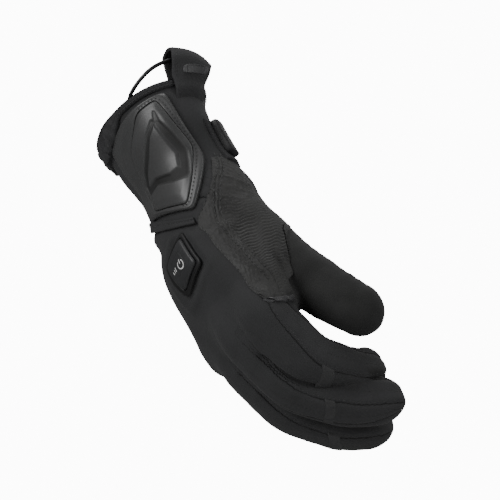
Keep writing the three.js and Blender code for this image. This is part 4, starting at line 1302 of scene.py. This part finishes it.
def make_body_stitches():
    """Rows beside the seams that show: the panel's edge and its double line, the finger and thumb seams."""
    left = np.stack([PANEL["down"][2:], PANEL["left"][2:]], -1)
    double = np.stack([DOUBLE_LINE["down"], DOUBLE_LINE["around"]], -1)
    rows = [body_stitches("row", "hand", left + [0, 2.2], lift=0.75)]
    for side in (-2.0, 2.0):
        rows.append(body_stitches("row", "hand", double, aside=side, lift=0.7))
    for name, seams in FINGER_SEAMS.items():
        rows.append(body_stitches("row", name, seams[0][1:-1], pitch=2.9, aside=1.5, thick=0.34))
    for places in HAND_SEAMS[:2]:
        rows.append(body_stitches("row", "hand", places, pitch=2.9, aside=1.5, thick=0.34))
    return joined("body_stitching", rows)


# Materials

class Graph:
    """Short ways to add and link shader nodes in one tree."""

    def __init__(self, tree):
        self.tree = tree

    def put(self, socket, value):
        if isinstance(value, bpy.types.NodeSocket):
            self.tree.links.new(value, socket)
        elif value is not None:
            socket.default_value = value

    def node(self, kind, inputs=None, **settings):
        node = self.tree.nodes.new("ShaderNode" + kind)
        for key, value in settings.items():
            setattr(node, key, value)
        for key, value in (inputs or {}).items():
            self.put(node.inputs[key], value)
        return node

    def math(self, operation, first, second=None, third=None):
        node = self.node("Math", operation=operation)
        for socket, value in zip(node.inputs, (first, second, third)):
            self.put(socket, value)
        return node.outputs[0]

    def blend(self, factor, first, second):
        """A colour mixed from two by a factor."""
        node = self.node("Mix", data_type="RGBA")
        for socket, value in zip((node.inputs[0], node.inputs[6], node.inputs[7]), (factor, first, second)):
            self.put(socket, value)
        return node.outputs[2]

    def attribute(self, name):
        return self.node("Attribute", attribute_name=name).outputs["Fac"]

    def place(self):
        return self.node("TexCoord").outputs["Object"]

    def noise(self, vector, scale, detail=3.0, roughness=0.5):
        return self.node("TexNoise", {"Vector": vector, "Scale": scale, "Detail": detail, "Roughness": roughness}).outputs[0]

    def ramp(self, value, low, high, to_low=0.0, to_high=1.0):
        node = self.node("MapRange", {"Value": value, "From Min": low, "From Max": high,
                                      "To Min": to_low, "To Max": to_high}, interpolation_type="SMOOTHSTEP")
        return node.outputs[0]

    def group(self, tree, inputs):
        node = self.tree.nodes.new("ShaderNodeGroup")
        node.node_tree = tree
        for key, value in inputs.items():
            self.put(node.inputs[key], value)
        return node.outputs


def new_group(name, inputs, outputs):
    tree = bpy.data.node_groups.new(name, "ShaderNodeTree")
    for label, kind in inputs:
        tree.interface.new_socket(label, in_out="INPUT", socket_type="NodeSocket" + kind)
    for label, kind in outputs:
        tree.interface.new_socket(label, in_out="OUTPUT", socket_type="NodeSocket" + kind)
    source = tree.nodes.new("NodeGroupInput")
    sink = tree.nodes.new("NodeGroupOutput")
    return Graph(tree), source.outputs, sink.inputs


def weave_group():
    """Fine cloth grain: two crossed sets of threads broken up by noise, and slow patches of nap."""
    g, given, result = new_group("cloth_grain", [("Scale", "Float"), ("Break", "Float")],
                                 [("Height", "Float"), ("Patch", "Float")])
    place = g.place()
    warped = g.node("VectorMath", {0: place, 1: g.node("VectorMath", {
        0: g.node("TexNoise", {"Vector": place, "Scale": 160.0}).outputs[1], 1: (0.0016, 0.0016, 0.0016)},
        operation="MULTIPLY").outputs[0]}, operation="ADD").outputs[0]
    threads = g.node("TexVoronoi", {"Vector": warped, "Scale": given["Scale"], "Randomness": 0.55}).outputs[0]
    fuzz = g.noise(place, g.math("MULTIPLY", given["Scale"], 1.7), 2.0)
    height = g.math("ADD", g.math("MULTIPLY", threads, g.math("SUBTRACT", 1.0, given["Break"])),
                    g.math("MULTIPLY", fuzz, given["Break"]))
    g.put(result["Height"], height)
    g.put(result["Patch"], g.noise(place, 34.0, 4.0, 0.6))
    return g.tree


def seam_group():
    """Line pressed in by a seam, from the signed distance to it, and the needle holes along it."""
    g, given, result = new_group("seam_line", [("Away", "Float"), ("Run", "Float"), ("Width", "Float")],
                                 [("Line", "Float"), ("Hole", "Float")])
    distance = g.math("ABSOLUTE", given["Away"])
    line = g.ramp(distance, 0.0, given["Width"], 1.0, 0.0)
    wave = g.math("SINE", g.math("MULTIPLY", given["Run"], 2.4))
    hole = g.math("MULTIPLY", line, g.ramp(wave, 0.2, 0.9))
    g.put(result["Line"], line)
    g.put(result["Hole"], hole)
    return g.tree


def pebble_group():
    """Pebbled grain of grip cloth and moulded skins: soft cells with noise over them."""
    g, given, result = new_group("pebble", [("Scale", "Float"), ("Rough", "Float")],
                                 [("Height", "Float"), ("Patch", "Float")])
    place = g.place()
    cells = g.node("TexVoronoi", {"Vector": place, "Scale": given["Scale"]}, feature="SMOOTH_F1").outputs[0]
    fine = g.noise(place, g.math("MULTIPLY", given["Scale"], 3.0), 3.0)
    g.put(result["Height"], g.math("ADD", cells, g.math("MULTIPLY", fine, given["Rough"])))
    g.put(result["Patch"], g.noise(place, 55.0, 3.0, 0.55))
    return g.tree


WEAVE = weave_group()
SEAM = seam_group()
PEBBLE = pebble_group()


def new_material(name, colour, roughness, **constants):
    """A Principled material: the named sockets hold what is the same all over the surface."""
    material = bpy.data.materials.new(name)
    material.use_nodes = True
    graph = Graph(material.node_tree)
    shader = material.node_tree.nodes["Principled BSDF"]
    shader.inputs["Base Color"].default_value = (*colour, 1)
    shader.inputs["Roughness"].default_value = roughness
    for key, value in constants.items():
        shader.inputs[key.replace("_", " ").title().replace("Ior", "IOR")].default_value = value
    return material, graph, shader


def shade(colour, share):
    return tuple(min(1.0, c * share) for c in colour) + (1.0,)


def bumped(graph, shader, height, distance, strength=1.0):
    bump = graph.node("Bump", {"Height": height, "Distance": distance * MM, "Strength": strength})
    graph.put(shader.inputs["Normal"], bump.outputs[0])


SOFTSHELL_COLOUR = (0.032, 0.0322, 0.0335)
SUEDE_COLOUR = (0.021, 0.021, 0.0208)


def softshell_material():
    """Matt stretch cloth with a faint nap; the thumb and palm in grip suede; seams drawn in; painted shade darkens the
    slits between the fingers.
    """
    material, g, shader = new_material("softshell", SOFTSHELL_COLOUR, 0.82, sheen_weight=0.05, specular_ior_level=0.28)
    grain = g.group(WEAVE, {"Scale": 1900.0, "Break": 0.45})
    pebble = g.group(PEBBLE, {"Scale": 900.0, "Rough": 0.6})
    suede = g.attribute("suede")
    seam = g.group(SEAM, {"Away": g.attribute("seam_away"), "Run": g.attribute("seam_run"), "Width": 0.75})
    cloth = g.blend(g.ramp(grain["Patch"], 0.3, 0.7), shade(SOFTSHELL_COLOUR, 0.88), shade(SOFTSHELL_COLOUR, 1.1))
    skin = g.blend(g.ramp(pebble["Patch"], 0.3, 0.7), shade(SUEDE_COLOUR, 0.8), shade(SUEDE_COLOUR, 1.2))
    colour = g.blend(suede, cloth, skin)
    colour = g.blend(g.math("MULTIPLY", seam["Line"], 0.72), colour, shade(SOFTSHELL_COLOUR, 0.12))
    # painted shade: the cloth's colour darkened nearly to black where a slit parts two fingers
    colour = g.blend(g.ramp(g.attribute("slit"), 0.2, 0.75, 0.0, 0.88), colour, shade(SOFTSHELL_COLOUR, 0.1))
    g.put(shader.inputs["Base Color"], colour)
    g.put(shader.inputs["Roughness"], g.ramp(grain["Patch"], 0.2, 0.8, 0.76, 0.9))
    relief = g.math("ADD", g.math("MULTIPLY", grain["Height"], g.math("SUBTRACT", 1.0, suede)),
                    g.math("MULTIPLY", pebble["Height"], g.math("MULTIPLY", suede, 0.45)))
    relief = g.math("SUBTRACT", g.math("MULTIPLY", relief, 0.22), g.math("MULTIPLY", seam["Line"], 1.2))
    relief = g.math("SUBTRACT", relief, g.math("MULTIPLY", seam["Hole"], 0.5))
    bumped(g, shader, relief, 0.5)
    return material


def grip_material():
    """Ribbed grip cloth of the side panel: pebbled, a little shiny on its high places."""
    colour = (0.026, 0.026, 0.0254)
    material, g, shader = new_material("grip_cloth", colour, 0.62, sheen_weight=0.04, specular_ior_level=0.35)
    pebble = g.group(PEBBLE, {"Scale": 700.0, "Rough": 0.7})
    g.put(shader.inputs["Base Color"], g.blend(g.ramp(pebble["Patch"], 0.35, 0.65), shade(colour, 0.7), shade(colour, 1.35)))
    g.put(shader.inputs["Roughness"], g.ramp(pebble["Patch"], 0.3, 0.7, 0.5, 0.75))
    bumped(g, shader, pebble["Height"], 0.16)
    return material


def moulded_material():
    """Satin moulded cover: a thin clear skin over fine grain, rougher and less coated in its recess, where painted
    shade darkens its colour.
    """
    colour = (0.048, 0.0485, 0.049)
    material, g, shader = new_material("moulded", colour, 0.42, coat_weight=0.3, coat_roughness=0.28)
    pebble = g.group(PEBBLE, {"Scale": 2200.0, "Rough": 0.5})
    recess = g.attribute("recess")
    # painted shade: the recess darkened to about a sixth of the cover's colour
    g.put(shader.inputs["Base Color"], g.blend(recess, shade(colour, 1.0), shade(colour, 0.15)))
    g.put(shader.inputs["Roughness"], g.math("ADD", g.ramp(pebble["Patch"], 0.3, 0.7, 0.38, 0.48), g.math("MULTIPLY", recess, 0.25)))
    g.put(shader.inputs["Coat Weight"], g.math("MULTIPLY", g.math("SUBTRACT", 1.0, recess), 0.3))
    bumped(g, shader, pebble["Height"], 0.03)
    return material


def rubber_material(name, colour, roughness):
    """Matt moulded rubber with a fine sandblasted grain and slow patches."""
    material, g, shader = new_material(name, colour, roughness, specular_ior_level=0.45)
    pebble = g.group(PEBBLE, {"Scale": 1600.0, "Rough": 0.8})
    g.put(shader.inputs["Base Color"], g.blend(pebble["Patch"], shade(colour, 0.85), shade(colour, 1.15)))
    g.put(shader.inputs["Roughness"], g.ramp(pebble["Patch"], 0.3, 0.7, roughness - 0.06, roughness + 0.08))
    bumped(g, shader, pebble["Height"], 0.05)
    return material


def webbing_material():
    """Close woven tape: crossed threads with a slight sheen."""
    colour = (0.026, 0.0262, 0.0275)
    material, g, shader = new_material("webbing", colour, 0.74, sheen_weight=0.05, specular_ior_level=0.35)
    grain = g.group(WEAVE, {"Scale": 1300.0, "Break": 0.25})
    g.put(shader.inputs["Base Color"], g.blend(grain["Patch"], shade(colour, 0.8), shade(colour, 1.2)))
    g.put(shader.inputs["Roughness"], g.ramp(grain["Patch"], 0.3, 0.7, 0.68, 0.82))
    bumped(g, shader, grain["Height"], 0.2)
    return material


def lining_material():
    """Short brushed pile inside the glove."""
    colour = (0.022, 0.022, 0.023)
    material, g, shader = new_material("lining", colour, 0.95, sheen_weight=0.1, specular_ior_level=0.2)
    grain = g.group(WEAVE, {"Scale": 700.0, "Break": 0.9})
    g.put(shader.inputs["Base Color"], g.blend(grain["Patch"], shade(colour, 0.75), shade(colour, 1.25)))
    bumped(g, shader, grain["Height"], 0.5)
    return material


def cord_material():
    """Glossy elastic cord with a fine braid."""
    colour = (0.012, 0.012, 0.013)
    material, g, shader = new_material("elastic_cord", colour, 0.38, specular_ior_level=0.4)
    grain = g.group(WEAVE, {"Scale": 1600.0, "Break": 0.1})
    g.put(shader.inputs["Roughness"], g.ramp(grain["Patch"], 0.3, 0.7, 0.24, 0.36))
    bumped(g, shader, grain["Height"], 0.03)
    return material


def thread_material():
    colour = (0.02, 0.02, 0.021)
    material, g, shader = new_material("thread", colour, 0.6, sheen_weight=0.2)
    grain = g.group(WEAVE, {"Scale": 2600.0, "Break": 0.2})
    g.put(shader.inputs["Roughness"], g.ramp(grain["Patch"], 0.3, 0.7, 0.5, 0.7))
    bumped(g, shader, grain["Height"], 0.08)
    return material


def print_material():
    """Pale print of the button's symbols, worn thin in spots."""
    colour = (0.78, 0.78, 0.77)
    material, g, shader = new_material("pale_print", colour, 0.5)
    spots = g.noise(g.place(), 900.0, 4.0)
    g.put(shader.inputs["Base Color"], g.blend(g.ramp(spots, 0.25, 0.45), shade(colour, 0.55), shade(colour, 1.0)))
    g.put(shader.inputs["Roughness"], g.ramp(spots, 0.3, 0.7, 0.45, 0.6))
    return material


# Camera, light and floor

def camera_axes():
    azimuth, elevation, roll = (math.radians(v) for v in (CAMERA_AZIMUTH, CAMERA_ELEVATION, CAMERA_ROLL))
    back = np.array([math.sin(azimuth) * math.cos(elevation), -math.cos(azimuth) * math.cos(elevation),
                     math.sin(elevation)])
    level = np.array([math.cos(azimuth), math.sin(azimuth), 0])
    upright = np.cross(back, level)
    right = level * math.cos(roll) - upright * math.sin(roll)
    up = level * math.sin(roll) + upright * math.cos(roll)
    return right, up, back


def add_camera():
    right, up, back = camera_axes()
    data = bpy.data.cameras.new("camera")
    data.lens = CAMERA_LENS
    data.sensor_width = 36
    data.clip_end = 20
    camera = bpy.data.objects.new("camera", data)
    bpy.context.scene.collection.objects.link(camera)
    place = (CAMERA_TARGET + back * CAMERA_DISTANCE) * MM
    camera.matrix_world = Matrix([
        (right[0], up[0], back[0], place[0]),
        (right[1], up[1], back[1], place[1]),
        (right[2], up[2], back[2], place[2]),
        (0, 0, 0, 1),
    ])
    bpy.context.scene.camera = camera


# Softboxes: across and up are metres right of and above the glove as the camera sees it, back towards
# the camera; width and height of the box in metres, and its power in watts.
SOFTBOXES = [
    ("key", -0.95, 0.5, 0.7, 0.8, 1.0, 13.0),
    ("side", 0.95, 0.4, 0.5, 0.35, 1.2, 4.0),
    ("low", 0.1, -0.95, 0.5, 1.0, 0.5, 0.5),
    ("top", 0.1, 1.1, -0.1, 1.0, 0.5, 5.0),
    ("far", 0.5, 0.3, -1.0, 1.0, 1.0, 2.4),
]


def add_lights():
    right, up, back = camera_axes()
    middle = CAMERA_TARGET * MM
    for name, across, above, nearer, width, height, power in SOFTBOXES:
        data = bpy.data.lights.new(name, "AREA")
        data.shape = "RECTANGLE"
        data.size, data.size_y = width, height
        data.energy = power
        light = bpy.data.objects.new(name, data)
        bpy.context.scene.collection.objects.link(light)
        place = Vector(middle + right * across + up * above + back * nearer)
        light.location = place
        light.rotation_euler = (Vector(middle) - place).to_track_quat("-Z", "Y").to_euler()
    world = bpy.data.worlds.new("studio")
    bpy.context.scene.world = world
    world.use_nodes = True
    graph = Graph(world.node_tree)
    background = world.node_tree.nodes["Background"]
    background.inputs["Color"].default_value = (1, 1, 1, 1)
    seen = graph.node("LightPath").outputs["Is Camera Ray"]
    graph.put(background.inputs["Strength"], graph.ramp(seen, 0.0, 1.0, 0.1, 12.0))


def add_floor():
    half, height = 6.0, -0.85
    corners = np.array([(-half, -half, height), (half, -half, height), (half, half, height), (-half, half, height)])
    floor = linked("floor", mesh_from("floor", corners / MM, [[0, 1, 2, 3]]))
    material, g, shader = new_material("pale_floor", (0.85, 0.85, 0.85), 0.8)
    g.put(shader.inputs["Roughness"], g.ramp(g.noise(g.place(), 3.0), 0.3, 0.7, 0.75, 0.85))
    floor.data.materials.append(material)


# The glove

def build():
    global BODY
    cloth, thread, webbing = softshell_material(), thread_material(), webbing_material()
    rubber = rubber_material("matt_rubber", (0.009, 0.009, 0.0095), 0.55)
    flex = rubber_material("flex_rubber", (0.029, 0.029, 0.030), 0.62)
    moulded, grip = moulded_material(), grip_material()
    stalls = [name + "_stall" for name in FINGERS]
    BODY = piece("glove_body", sewn_body(), cloth,
                 ["cuff_shell", "hand_back", "hand_palm", *stalls], sharp=0)
    BODY.data.materials.append(lining_material())
    piece("guard_frame_cover", make_guard_frame(), moulded, ["guard_frame"])
    piece("guard_pad_cover", make_guard_pad(), moulded, ["guard_pad"])
    piece("button_rim", make_button_bezel(), rubber, ["button_bezel"])
    piece("button_cap", make_button_cap(), rubber_material("button_rubber", (0.030, 0.0305, 0.032), 0.48),
          ["power_button"])
    piece("button_symbols", make_symbols(), print_material())
    piece("side_panel_cloth", make_side_panel(), grip, ["side_panel"])
    piece("side_hem_lip", make_side_hem(), rubber_material("hem_rubber", (0.055, 0.055, 0.057), 0.3),
          ["side_hem"])
    piece("wrist_band_tape", make_wrist_band(), webbing, ["wrist_band"])
    for name in FLEX_BANDS:
        piece(name + "_band", make_flex_band(name), flex, [name + "_flex_band"])
    piece("wrist_strap_webbing", make_wrist_strap(), webbing, ["wrist_strap"])
    piece("strap_end", make_strap_tab(), rubber, ["strap_tab"])
    piece("rim_tape", make_rim_binding(), webbing, ["rim_binding"])
    piece("pull_loop", make_pull_tab(), webbing, ["pull_tab"])
    piece("loop_badge", make_tab_badge(), rubber_material("badge_rubber", (0.05, 0.05, 0.052), 0.45),
          ["tab_badge"])
    piece("leash", make_cord(), cord_material(), ["leash_cord"])
    piece("cover_stitching", make_cover_stitches(), thread, sharp=0)
    piece("tape_stitching", make_tape_stitches(), thread, sharp=0)
    piece("body_stitching", make_body_stitches(), thread, sharp=0)


add_camera()
add_lights()
add_floor()
build()
